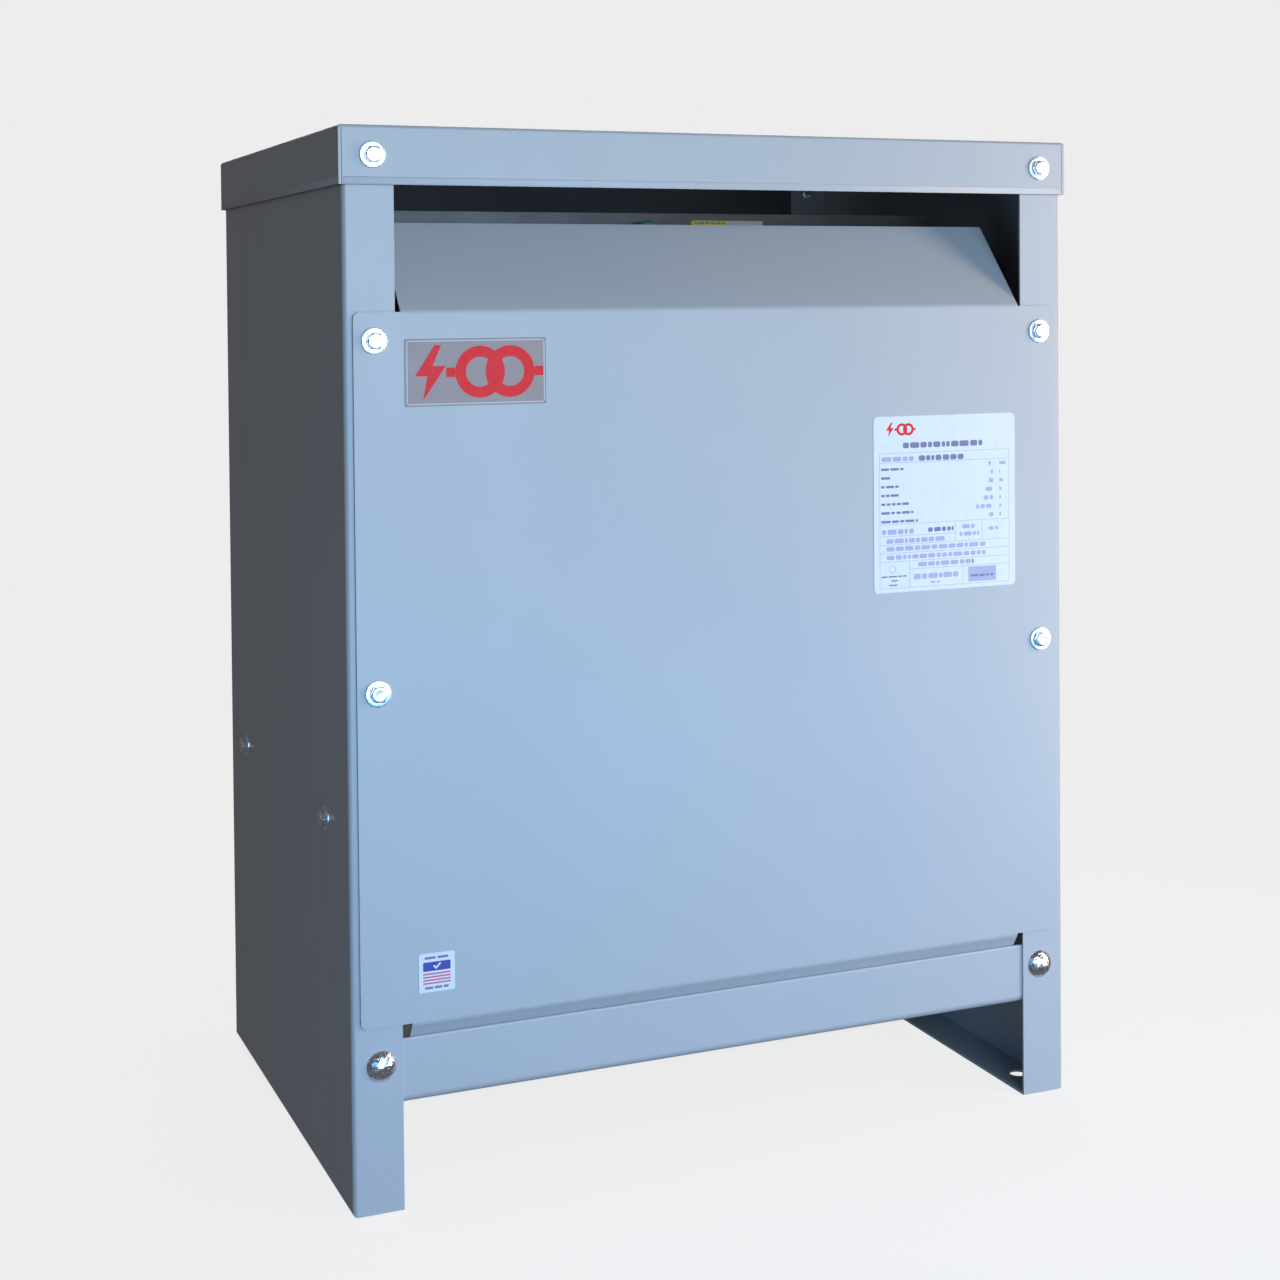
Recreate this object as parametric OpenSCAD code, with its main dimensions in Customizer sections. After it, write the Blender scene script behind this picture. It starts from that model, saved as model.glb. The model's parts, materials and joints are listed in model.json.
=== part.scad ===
// Ventilated dry-type transformer, three phase, floor standing, in a bolted sheet-steel case.
// Millimetres. +Z is up and the front faces -Y. The origin is the middle of the footprint, on the floor.

/* [Case] */
// Width over the two side panels
body_w = 587; // [480:1:720]
// Depth over the front and rear flanges
body_d = 399; // [330:1:490]
// Height from the floor to the top of the lid
total_h = 762; // [630:1:930]
// Thickness of the case's sheet steel
sheet_t = 2; // [1.5:0.1:2.5]
// Outer radius of the case's bends
bend_r = 3.5; // [3:0.5:6]
// Width of the flanges that each side panel turns inward
flange_w = 37; // [32:1:46]

/* [Lid] */
// Height of the lid's skirt
skirt_h = 41.4; // [34:0.1:60]
// Gap between the side panels and the inside of the skirt
lid_gap = 0.8; // [0.4:0.1:2]
// Width of the open seam at each corner of the skirt
seam_w = 0.4; // [0.2:0.1:1]

/* [Cover panels] */
// Height of the air gap between the front cover's top lip and the lid's skirt
vent_gap = 24.8; // [16:0.1:40]
// Height of the air gap between the rear cover's top lip and the lid's skirt
rear_vent_gap = 11; // [8:0.1:24]
// Rise of the front cover's sloping top lip
lip_rise = 63.8; // [40:0.1:80]
// Run of the sloping top lip into the case
lip_run = 55.5; // [30:0.1:70]
// Gap at each end of the top lip, to the side panel's flange
lip_gap = 3.5; // [2:0.1:8]
// Margin from the side of the case to the edge of a cover
cover_margin = 6.4; // [2:0.1:12]
// Corner radius of a cover
cover_corner_r = 5; // [2:0.5:12]
// Height from the rail's top to a cover's lower edge
cover_lift = 11.2; // [9:0.1:16]
// Gap at each end of the bottom hook, to the side panel's flange
hook_end_gap = 6.5; // [2:0.1:12]
// Slope of the hook from the vertical, where it steps over the rail
hook_angle = 34; // [28:1:40]
// Length of the hook behind the rail
hook_l = 14; // [8:1:24]
// Clearance between the hook and the rail's round top edge
hook_gap = 0.3; // [0.2:0.1:1]

/* [Rails and base] */
// Height of the underside of the front and rear rails
rail_z = 74.2; // [60:0.1:110]
// Height of a rail
rail_h = 46.5; // [36:0.1:70]
// Thickness of a rail
rail_t = 3; // [2:0.5:5]
// Depth of a rail's lower flange
rail_flange = 60; // [50:1:80]
// Height of the two supports that carry the core
support_h = 22; // [16:1:40]
// Width of a core support
support_w = 50; // [40:1:60]
// Distance of each core support from the middle
support_x = 150; // [110:1:170]
// Thickness of the isolation pads
pad_h = 12; // [8:1:25]
// Height of the angle that stiffens a side panel
brace_h = 40; // [30:1:60]
// Depth of the angle that stiffens a side panel
brace_leg = 25; // [15:1:35]

/* [Fasteners] */
// Radius of the cover bolts' shanks
bolt_r = 3.1; // [2.5:0.1:4]
// Width across the flats of the cover bolts
bolt_af = 11.1; // [9:0.1:13]
// Length of the cover bolts under the head
bolt_l = 19; // [16:1:25]
// Radius of the cover bolts' washers
washer_r = 9.3; // [8:0.1:11]
// Thickness of the cover bolts' washers
washer_t = 1.5; // [1:0.1:2.5]
// Distance of the cover, lid and foot bolts from the side of the case
bolt_inset = 21.3; // [18:0.1:24]
// Distance of the upper cover bolts below a cover's top edge
upper_bolt_drop = 20; // [14:1:40]
// Distance between the upper and lower cover bolts
bolt_pitch = 245.8; // [150:0.1:300]
// Height of the foot bolts
foot_bolt_z = 104; // [90:1:110]
// Radius of the foot bolts' shanks
foot_bolt_r = 4.7; // [4:0.1:6]
// Radius of the foot bolts' domed heads
dome_r = 11; // [9:0.5:13]
// Height of the side bolts
side_bolt_z = 266.8; // [220:0.1:330]
// Distance of the side bolts from the front and rear of the case
side_bolt_inset = 64.5; // [45:0.5:90]
// Radius of the floor anchor holes
anchor_r = 7.1; // [5:0.1:9]
// Distance of the anchor holes from the side of the case
anchor_side = 17.5; // [14:0.5:24]
// Distance of the anchor holes from the front and rear of the case
anchor_end = 38.5; // [28:0.5:60]

/* [Core and coils] */
// Air gap between a side panel and the nearest coil
side_air = 42.5; // [30:0.5:60]
// Space between a cover and the coils, for air and wiring
wire_space = 104; // [95:1:115]
// Gap between neighbouring coils
coil_gap = 6; // [4:1:12]
// Height of the insulating blocks above and below the coils
block_h = 6; // [4:1:12]
// Wall of the insulating tube around each core leg
former_t = 2; // [1:0.5:4]
// Radial build of the inner, low-voltage winding
lv_t = 13; // [8:1:15]
// Radial width of the air duct between the windings
duct_w = 8; // [5:1:12]
// Radial build of the outer, high-voltage winding
hv_t = 18; // [10:1:20]
// Thickness of the core clamps
clamp_t = 6; // [4:1:8]
// Height of the core clamps
clamp_h = 60; // [40:1:70]

/* [Terminals] */
// Air gap from the lid to the top of the terminal board's label
board_air = 57; // [45:1:80]
// Height of the terminal board up to its label's top
board_h = 90; // [80:1:120]
// Height of the terminal board's top edge over its label
board_crest = 5.5; // [1:0.5:12]
// Thickness of the terminal board
board_t = 12; // [8:1:16]
// Height from the core's top to the terminal board
lead_room = 80; // [60:1:120]
// Width of the busbars
bus_w = 24; // [18:1:28]
// Thickness of the busbars
bus_t = 4; // [3:0.5:5]
// Radius of the high-voltage leads
lead_r = 4.5; // [3:0.5:6]

/* [Labels] */
// Width of the rating plate
plate_w = 127.5; // [90:0.5:150]
// Height of the rating plate
plate_h = 136.5; // [90:0.5:160]
// Width of the badge
badge_w = 105; // [60:1:140]
// Height of the badge
badge_h = 47.5; // [30:0.5:60]
// Thickness of the labels
label_t = 0.4; // [0.2:0.1:1]

/* [Hidden] */
$fn = 64;
// Most degrees of a bend that one facet of its side view covers
bend_facet = 4;

inner_w = body_w - 2 * sheet_t;
inner_d = body_d - 2 * sheet_t;
inner_bend_r = bend_r - sheet_t;
lid_under = total_h - sheet_t;
lid_w = body_w + 2 * (lid_gap + sheet_t);
lid_d = body_d + 2 * (lid_gap + sheet_t);
lid_bend_r = sheet_t + 0.75 * lid_gap;
flange_edge = body_w / 2 - flange_w;
bolt_x = body_w / 2 - bolt_inset;

// Places along the depth, as distances in front of the middle
flange_face = body_d / 2;
rail_face = flange_face - sheet_t;
rail_back = rail_face - rail_t;
cover_face = flange_face + sheet_t;
skirt_face = lid_d / 2;

// Cover panels
cover_z = rail_z + rail_h + cover_lift;
cover_top = total_h - skirt_h - vent_gap - lip_rise;
cover_w = body_w - 2 * cover_margin;
rear_lip_rise = lip_rise + vent_gap - rear_vent_gap;
lip_w = 2 * (flange_edge - lip_gap);
hook_w = 2 * (flange_edge - hook_end_gap);
cover_bend = 5;
pivot_y = rail_face - rail_t / 2;
pivot_z = rail_z + rail_h - rail_t / 2;
hook_r = rail_t / 2 + hook_gap + sheet_t / 2;
hook_step = cover_face - sheet_t / 2 - pivot_y;
slope_l = (hook_step + hook_r * cos(hook_angle)) / sin(hook_angle);
slope_top = pivot_z + hook_r * sin(hook_angle) + slope_l * cos(hook_angle);
hook_tangent = cover_bend * tan(hook_angle / 2);
strip_overlap = 40;

// Fasteners
bolt_head_h = 4.2;
bolt_hole_r = bolt_r + 0.8;
washer_bore_r = bolt_r + 0.8;
nut_h = 5.5;
nut_bore_r = bolt_r + 0.4;
thread_gap = 0.05;
upper_bolt_z = cover_top - upper_bolt_drop;
lower_bolt_z = upper_bolt_z - bolt_pitch;
cover_bolts = [
    [-bolt_x, upper_bolt_z],
    [bolt_x, upper_bolt_z],
    [-bolt_x, lower_bolt_z],
    [bolt_x, lower_bolt_z],
];
lid_bolt_z = total_h - skirt_h / 2;
lid_notch_r = bolt_r + 0.8;
dome_h = 5.5;
foot_bolt_l = 20;
foot_nut_af = 14.3;
foot_nut_h = 8;
foot_hole_r = foot_bolt_r + 0.5;
side_bolt_y = body_d / 2 - side_bolt_inset;
anchor_x = body_w / 2 - anchor_side;
anchor_y = body_d / 2 - anchor_end;
rail_end_gap = 0.3;
rail_w = body_w - 2 * (bend_r + rail_end_gap);
rail_bend = 5;

// Base
rail_top_face = rail_z + rail_t;
support_top = rail_top_face + support_h;
support_t = 3;
support_bend = 5;
support_end_gap = 6;
support_l = 2 * (rail_back - support_end_gap);
core_z = support_top + pad_h;
pad_size = [44, 36, 6];
base_bolt_r = 4;
base_bolt_af = 12.7;
base_head_h = 5.3;
base_bolt_l = 35;
base_nut_h = 6.5;
base_hole_r = base_bolt_r + 0.5;
strap_t = 1.5;
strap_w = 22;
strap_end = 14;
strap_margin = 2;
strap_bend = 3;
end_bolt_y = rail_back - rail_flange / 2;
brace_t = 3;
brace_end_gap = 8;
brace_l = inner_d - 2 * brace_end_gap;

// Core and coils
leg_gap = 1;
coil_corner_r = 1.5;
layer_gap = 0.2;
block_gap = 2;
stick_w = 10;
former_out = leg_gap + former_t;
lv_in = former_out + layer_gap;
lv_out = lv_in + lv_t;
hv_in = lv_out + duct_w;
hv_out = hv_in + hv_t;
coil_w = (inner_w - 2 * side_air - 2 * coil_gap) / 3;
coil_d = inner_d - 2 * wire_space;
leg_w = coil_w - 2 * hv_out;
stack_d = coil_d - 2 * hv_out;
leg_pitch = coil_w + coil_gap;
core_w = 2 * leg_pitch + leg_w;
yoke_h = leg_w;
board_top = lid_under - board_air;
board_z = board_top - board_h;
yoke_top = board_z - lead_room;
window_z = core_z + yoke_h;
window_top = yoke_top - yoke_h;
coil_z = window_z + block_h;
coil_top = window_top - block_h;
coil_h = coil_top - coil_z;
legs = [-leg_pitch, 0, leg_pitch];
stack_y = stack_d / 2;
lower_clamp_leg = 45;
lower_clamp_t = 5;
clamp_bend = 6;
pad_offset = 25;
pad_y = stack_y + pad_offset;
bracket_offset = 31;
bracket_x = core_w / 2 + bracket_offset;
bracket_w = 24;
bracket_t = 7;
clamp_end = 14;
clamp_w = 2 * (bracket_x + clamp_end);
clamp_bolt_r = 4.8;
clamp_bolt_af = 14.3;
clamp_head_h = 6;
clamp_nut_h = 8;
clamp_hole_r = clamp_bolt_r + 0.5;
upper_clamp_z = yoke_top - clamp_h;
upper_clamp_bolt_z = yoke_top - clamp_h / 2;
lower_clamp_bolt_z = core_z + clamp_h / 2 + 5;
clamp_bolt_spare = 4;

// Terminals
board_back = stack_y + clamp_t + bracket_t;
board_face = board_back + board_t;
board_w = 2 * bracket_x + clamp_end;
board_bolt_margin = 15;
board_bolt_zs = [board_z + board_bolt_margin, board_top - board_bolt_margin];
bracket_drop = 5;
bar_over_bolt = 18;
lv_offset = -42;
hv_offset = 30;
neutral_x = -10;
lv_bolt_drop = 48;
lv_bolt_z = board_top - lv_bolt_drop;
hv_bolt_drop = 78;
hv_bolt_z = board_top - hv_bolt_drop;
bus_back = board_back - bus_t;
palm_t = 3;
tang_t = 5;
lug_w = 22;
lug_d = 20;
lug_h = 26;
tang_h = 26;
tang_top = tang_h / 2;
lug_bore_r = 5;
lug_bore_y = 12;
lug_screw_r = 3;
lug_screw_gap = 0.05;
lug_screw_l = 4;
lug_screw_out = 1.2;
stud_r = 4;
stud_af = 12.7;
stud_l = 30;
stud_head_h = 5.3;
stud_nut_h = 6.5;
stud_hole_r = stud_r + 0.3;
neutral_clear = 8;
neutral_cross_z = yoke_top + neutral_clear;
lead_y = stack_y + (hv_in + hv_out) / 2;
bond_r = 2.6;
bond_turn = 7.75;
bond_x = neutral_x - 2 * bond_turn;
bond_y = board_face + lug_bore_y;
bond_top = board_top - 1;
bond_end_z = upper_clamp_bolt_z;

// Labels: the distances of each from the cover's side and from its top or bottom edge
plate_margin = [38, 84.3];
plate_x = cover_w / 2 - plate_margin[0] - plate_w / 2;
plate_z = cover_top - plate_margin[1] - plate_h / 2;
badge_margin = [36.6, 19];
badge_x = -cover_w / 2 + badge_margin[0] + badge_w / 2;
badge_z = cover_top - badge_margin[1] - badge_h / 2;
small_label = [26.5, 27.5];
small_label_margin = [41.9, 20.4];
small_label_x = -cover_w / 2 + small_label_margin[0] + small_label[0] / 2;
small_label_z = cover_z + small_label_margin[1] + small_label[1] / 2;
board_label = [64, 22];
board_label_x = (neutral_x + leg_pitch + lv_offset) / 2;

case_color = "#8fa0b4";
zinc_color = "#d5dade";
steel_color = "#5d6168";
core_color = "#3c3f44";
copper_color = "#b8733f";
insulation_color = "#d9c9a3";

// ---------------------------------------------------------------- helpers

// A rectangle with four round corners, centred.
module rounded_rect(w, h, r) {
    square([w - 2 * r, h], center = true);
    square([w, h - 2 * r], center = true);
    for (sx = [-1, 1], sy = [-1, 1])
        translate([sx * (w / 2 - r), sy * (h / 2 - r)]) circle(r);
}

// A rectangle standing on the X axis, with its two top corners round.
module round_top_rect(w, h, r) {
    translate([-w / 2, 0]) square([w, h - r]);
    translate([-w / 2 + r, 0]) square([w - 2 * r, h]);
    for (side = [-1, 1])
        translate([side * (w / 2 - r), h - r]) circle(r);
}

// Draws a side view (Y across, Z up) along the width.
module along_x(length) {
    rotate([90, 0, 90]) linear_extrude(length, center = true) children();
}

// Draws a front view (X across, Z up) along the depth.
module along_y(length) {
    rotate([90, 0, 0]) linear_extrude(length, center = true) children();
}

// One edge of a bent sheet seen on edge, at a distance to the left of its middle line.
// Each step is [straight length, bend after it, the bend's middle radius]; a positive bend turns left.
function edge_points(steps, offset, at = [0, 0], heading = 90, i = 0) =
    let (
        straight = steps[i][0],
        left = [-sin(heading), cos(heading)],
        end = at + straight * [cos(heading), sin(heading)]
    )
    i == len(steps) - 1
        ? [end + offset * left]
        : let (
            turn = steps[i][1],
            lean = sign(turn) * steps[i][2],
            centre = end + lean * left,
            facets = ceil(abs(turn) / bend_facet)
        )
        concat(
            [for (k = [0:facets])
                let (a = heading + turn * k / facets)
                centre + (offset - lean) * [-sin(a), cos(a)]],
            edge_points(steps, offset, centre - lean * [-sin(heading + turn), cos(heading + turn)],
                        heading + turn, i + 1)
        );

function reversed(list) = [for (k = [len(list) - 1:-1:0]) list[k]];

// A bent sheet seen on edge, drawn from the origin along +Y on its middle line.
module bent_strip(steps, t) {
    polygon(concat(
        [[t / 2, 0]],
        edge_points(steps, -t / 2),
        reversed(edge_points(steps, t / 2)),
        [[-t / 2, 0]]
    ));
}

// Turns a piece built for the front to the back.
module rear_side() {
    rotate([0, 0, 180]) children();
}

// Both the front and the rear copy of a piece.
module front_and_rear() {
    children();
    rear_side() children();
}

// Stands a piece's +Z axis out of the front, at a distance in front of the middle.
module facing_front(x, z, distance) {
    translate([x, -distance, z]) rotate([90, 0, 0]) children();
}

// A hexagonal prism with its outer corners turned off, standing on z = 0.
module hex_body(af, h) {
    corner_r = af / 2 / cos(30);
    chamfer = (corner_r - af / 2) * 0.9;
    intersection() {
        cylinder(h = h, r = corner_r, $fn = 6);
        rotate_extrude()
            polygon([[0, 0], [corner_r, 0], [corner_r, h - chamfer * 0.6], [corner_r - chamfer, h], [0, h]]);
    }
}

// A hex bolt: the head stands on z = 0 and the shank goes down.
module hex_bolt(r, af, head_h, length) {
    tip = r * 0.2;
    hex_body(af, head_h);
    translate([0, 0, tip - length]) cylinder(h = length - tip, r = r);
    translate([0, 0, -length]) cylinder(h = tip, r1 = r - tip, r2 = r);
}

// A hex nut standing on z = 0.
module hex_nut(af, h, bore_r) {
    difference() {
        hex_body(af, h);
        translate([0, 0, -1]) cylinder(h = h + 2, r = bore_r);
    }
}

// A flat washer standing on z = 0.
module washer() {
    difference() {
        cylinder(h = washer_t, r = washer_r);
        translate([0, 0, -1]) cylinder(h = washer_t + 2, r = washer_bore_r);
    }
}

// The bolt of a cover, lid or side, whose washer lies on z = 0.
module cover_bolt() {
    translate([0, 0, washer_t]) hex_bolt(bolt_r, bolt_af, bolt_head_h, bolt_l);
}

// A block given by its X, Y and Z ranges.
module block(x, y, z) {
    translate([x[0], y[0], z[0]]) cube([x[1] - x[0], y[1] - y[0], z[1] - z[0]]);
}

// A round hole through the front wall at a given place.
module front_hole(x, z, distance, depth, r) {
    facing_front(x, z, distance) translate([0, 0, -depth]) cylinder(h = 2 * depth, r = r);
}

// ---------------------------------------------------------------- case

// The left side panel: a wall with flanges at the front, the rear and the floor.
module side_panel_shape() {
    difference() {
        intersection() {
            union() {
                linear_extrude(lid_under)
                    difference() {
                        rounded_rect(body_w, body_d, bend_r);
                        rounded_rect(inner_w, inner_d, inner_bend_r);
                        translate([-flange_edge, -body_d]) square([body_w, 2 * body_d]);
                    }
                block([-inner_w / 2 - sheet_t / 2, -flange_edge], [-inner_d / 2, inner_d / 2], [0, sheet_t]);
            }
            along_y(2 * body_d)
                translate([0, total_h]) rounded_rect(body_w, 2 * total_h, bend_r);
        }
        front_and_rear() {
            for (z = [upper_bolt_z, lower_bolt_z], x = [-bolt_x, bolt_x])
                front_hole(x, z, flange_face, 2 * sheet_t, bolt_hole_r);
            for (x = [-bolt_x, bolt_x]) {
                front_hole(x, foot_bolt_z, flange_face, 2 * sheet_t, foot_hole_r);
                front_hole(x, lid_bolt_z, flange_face, 2 * sheet_t, lid_notch_r);
                translate([x - lid_notch_r, -flange_face - 1, lid_bolt_z])
                    cube([2 * lid_notch_r, 2 * sheet_t, total_h - lid_bolt_z]);
            }
        }
        for (y = [-side_bolt_y, side_bolt_y])
            translate([-body_w / 2 - 1, y, side_bolt_z])
                rotate([0, 90, 0]) cylinder(h = 2 * sheet_t, r = bolt_hole_r);
        for (y = [-anchor_y, anchor_y])
            translate([-anchor_x, y, -1]) cylinder(h = sheet_t + 2, r = anchor_r);
    }
}

module side_panel_left() {
    color(case_color) side_panel_shape();
}

module side_panel_right() {
    color(case_color) rear_side() side_panel_shape();
}

// The front rail: a web behind the flanges, a flange below, and a round top edge.
module rail_shape() {
    web = pivot_z - rail_z - rail_t / 2 - rail_bend;
    flange = rail_flange - rail_t / 2 - rail_bend;
    difference() {
        along_x(rail_w)
            translate([-pivot_y, pivot_z]) {
                circle(rail_t / 2);
                rotate(180) bent_strip([[web, 90, rail_bend], [flange]], rail_t);
            }
        for (x = [-bolt_x, bolt_x])
            front_hole(x, foot_bolt_z, rail_face, 2 * rail_t, foot_hole_r);
        for (x = [-support_x, support_x])
            translate([x, -end_bolt_y, rail_z - 1]) cylinder(h = rail_t + 2, r = base_hole_r);
    }
}

module front_rail() {
    color(case_color) rail_shape();
}

module rear_rail() {
    color(case_color) rear_side() rail_shape();
}

// A closed box with its upper edges round, standing on z = 0.
module round_top_box(w, d, h, r) {
    intersection() {
        along_y(d) round_top_rect(w, h, r);
        along_x(w) round_top_rect(d, h, r);
    }
}

module lid() {
    color(case_color)
        difference() {
            translate([0, 0, total_h - skirt_h]) round_top_box(lid_w, lid_d, skirt_h, lid_bend_r);
            translate([0, 0, total_h - skirt_h - sheet_t])
                round_top_box(lid_w - 2 * sheet_t, lid_d - 2 * sheet_t, skirt_h, lid_bend_r - sheet_t);
            for (side = [-1, 1])
                translate([side * (lid_w / 2 - sheet_t - seam_w / 2), 0, total_h - lid_bend_r - skirt_h / 2])
                    cube([seam_w, lid_d + 2, skirt_h], center = true);
            front_and_rear()
                for (x = [-bolt_x, bolt_x])
                    front_hole(x, lid_bolt_z, skirt_face, 2 * sheet_t, bolt_hole_r);
        }
}

// A cover: a flat plate with a sloping lip above and a hook below that steps over the rail.
module cover_shape(rise) {
    lip_angle = atan(lip_run / rise);
    lip_tangent = cover_bend * tan(lip_angle / 2);
    lip_l = norm([rise, lip_run]) - lip_tangent;
    hook_slope = slope_l - hook_tangent;
    plate_bottom = slope_top + hook_tangent;
    plate_top = cover_top - lip_tangent;
    mid_z = (cover_z + cover_top) / 2;
    difference() {
        union() {
            translate([0, -cover_face + sheet_t / 2, 0])
                along_y(sheet_t)
                    difference() {
                        translate([0, mid_z]) rounded_rect(cover_w, cover_top - cover_z, cover_corner_r);
                        translate([-hook_w / 2, 0]) square([hook_w, plate_bottom + 1]);
                        translate([-lip_w / 2, plate_top - 1]) square([lip_w, cover_top]);
                    }
            along_x(hook_w)
                translate([hook_r - pivot_y, pivot_z - hook_l])
                    bent_strip(
                        [[hook_l, hook_angle, hook_r],
                         [hook_slope, -hook_angle, cover_bend],
                         [strip_overlap]],
                        sheet_t);
            along_x(lip_w)
                translate([sheet_t / 2 - cover_face, plate_top - strip_overlap])
                    bent_strip([[strip_overlap, -lip_angle, cover_bend], [lip_l]], sheet_t);
        }
        for (place = cover_bolts)
            front_hole(place[0], place[1], cover_face, 2 * sheet_t, bolt_hole_r);
    }
}

module front_panel() {
    color(case_color) cover_shape(lip_rise);
}

module rear_panel() {
    color(case_color) rear_side() cover_shape(rear_lip_rise);
}

// The angle that stiffens the left side panel, on the inside.
module brace_shape() {
    difference() {
        union() {
            block([-inner_w / 2, -inner_w / 2 + brace_t], [-brace_l / 2, brace_l / 2],
                  [side_bolt_z - brace_h / 2, side_bolt_z + brace_h / 2]);
            block([-inner_w / 2, -inner_w / 2 + brace_leg], [-brace_l / 2, brace_l / 2],
                  [side_bolt_z - brace_h / 2, side_bolt_z - brace_h / 2 + brace_t]);
        }
        for (y = [-side_bolt_y, side_bolt_y])
            translate([-inner_w / 2 - 1, y, side_bolt_z])
                rotate([0, 90, 0]) cylinder(h = brace_t + 2, r = bolt_hole_r);
    }
}

module side_braces() {
    color(steel_color) front_and_rear() brace_shape();
}

// ---------------------------------------------------------------- case fasteners

module panel_bolt(i) {
    color(zinc_color)
        facing_front(cover_bolts[i][0], cover_bolts[i][1], cover_face) cover_bolt();
}

module panel_washer(i) {
    color(zinc_color)
        facing_front(cover_bolts[i][0], cover_bolts[i][1], cover_face) washer();
}

module rear_bolts() {
    color(zinc_color)
        rear_side()
            for (place = cover_bolts)
                facing_front(place[0], place[1], cover_face) cover_bolt();
}

module rear_washers() {
    color(zinc_color)
        rear_side()
            for (place = cover_bolts)
                facing_front(place[0], place[1], cover_face) washer();
}

// The nuts that stay on the flanges behind both covers.
module cover_nuts() {
    color(zinc_color)
        front_and_rear()
            for (place = cover_bolts)
                facing_front(place[0], place[1], rail_face - nut_h) hex_nut(bolt_af, nut_h, nut_bore_r);
}

module lid_bolts() {
    color(zinc_color)
        front_and_rear()
            for (x = [-bolt_x, bolt_x])
                facing_front(x, lid_bolt_z, skirt_face) cover_bolt();
}

module lid_washers() {
    color(zinc_color)
        front_and_rear()
            for (x = [-bolt_x, bolt_x])
                facing_front(x, lid_bolt_z, skirt_face) washer();
}

module lid_nuts() {
    color(zinc_color)
        front_and_rear()
            for (x = [-bolt_x, bolt_x])
                facing_front(x, lid_bolt_z, rail_face - nut_h) hex_nut(bolt_af, nut_h, bolt_r + thread_gap);
}

// Round-headed bolts that hold the rails to the side panels.
module foot_bolts() {
    ball_r = (dome_r * dome_r + dome_h * dome_h) / (2 * dome_h);
    color(zinc_color)
        front_and_rear()
            for (x = [-bolt_x, bolt_x])
                facing_front(x, foot_bolt_z, flange_face) {
                    intersection() {
                        translate([0, 0, dome_h - ball_r]) sphere(ball_r);
                        cylinder(h = dome_h + 1, r = dome_r + 1);
                    }
                    translate([0, 0, -foot_bolt_l]) cylinder(h = foot_bolt_l + 1, r = foot_bolt_r);
                }
}

module foot_nuts() {
    color(zinc_color)
        front_and_rear()
            for (x = [-bolt_x, bolt_x])
                facing_front(x, foot_bolt_z, rail_back - foot_nut_h)
                    hex_nut(foot_nut_af, foot_nut_h, foot_bolt_r + thread_gap);
}

// Stands a piece's +Z axis out of the left and of the right side, at both side bolts.
module side_places(distance) {
    front_and_rear()
        for (y = [-side_bolt_y, side_bolt_y])
            translate([-distance, y, side_bolt_z]) rotate([0, -90, 0]) children();
}

module side_bolts() {
    color(zinc_color) side_places(body_w / 2) cover_bolt();
}

module side_washers() {
    color(zinc_color) side_places(body_w / 2) washer();
}

module side_nuts() {
    color(zinc_color)
        side_places(inner_w / 2 - brace_t - nut_h) hex_nut(bolt_af, nut_h, bolt_r + thread_gap);
}

// ---------------------------------------------------------------- labels

module front_label(x, z, w, h, r) {
    translate([x, -cover_face - label_t / 2, z]) along_y(label_t) rounded_rect(w, h, r);
}

module rating_plate() {
    color("#e9edf2") front_label(plate_x, plate_z, plate_w, plate_h, 4);
}

module badge() {
    color("#a3a9ad") front_label(badge_x, badge_z, badge_w, badge_h, 1);
}

module small_label() {
    color("#f0f0f4") front_label(small_label_x, small_label_z, small_label[0], small_label[1], 1);
}

// ---------------------------------------------------------------- base

// A channel, open below, that runs from rail to rail under the core.
module core_supports() {
    color(steel_color)
        for (x = [-support_x, support_x])
            translate([x, 0, 0])
                difference() {
                    translate([0, 0, rail_top_face])
                        along_y(support_l) round_top_rect(support_w, support_h, support_bend);
                    translate([0, 0, rail_top_face - 1])
                        along_y(support_l + 2)
                            round_top_rect(support_w - 2 * support_t, support_h - support_t + 1,
                                           support_bend - support_t);
                    for (y = [-end_bolt_y, -pad_y, pad_y, end_bolt_y])
                        translate([0, y, support_top - 2 * support_t])
                            cylinder(h = 3 * support_t, r = base_hole_r);
                }
}

module isolation_pads() {
    color("#26272a")
        for (x = [-support_x, support_x], y = [-pad_y, pad_y])
            translate([x, y, support_top])
                difference() {
                    linear_extrude(pad_h) rounded_rect(pad_size[0], pad_size[1], pad_size[2]);
                    translate([0, 0, -1]) cylinder(h = pad_h + 2, r = base_hole_r);
                }
}

// The bolts through the pads, and those through the supports' ends.
// The two under the ground strap sit higher by its thickness.
module base_bolts() {
    color(zinc_color)
        for (x = [-support_x, support_x], y = [-1, 1]) {
            strap = x > 0 && y < 0 ? strap_t : 0;
            translate([x, y * pad_y, core_z + lower_clamp_t + strap])
                hex_bolt(base_bolt_r, base_bolt_af, base_head_h, base_bolt_l);
            translate([x, y * end_bolt_y, support_top + strap])
                hex_bolt(base_bolt_r, base_bolt_af, base_head_h, base_bolt_l);
        }
}

module base_nuts() {
    color(zinc_color)
        for (x = [-support_x, support_x], y = [-1, 1]) {
            translate([x, y * pad_y, support_top - support_t - base_nut_h])
                hex_nut(base_bolt_af, base_nut_h, base_bolt_r + thread_gap);
            translate([x, y * end_bolt_y, rail_z - base_nut_h])
                hex_nut(base_bolt_af, base_nut_h, base_bolt_r + thread_gap);
        }
}

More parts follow.
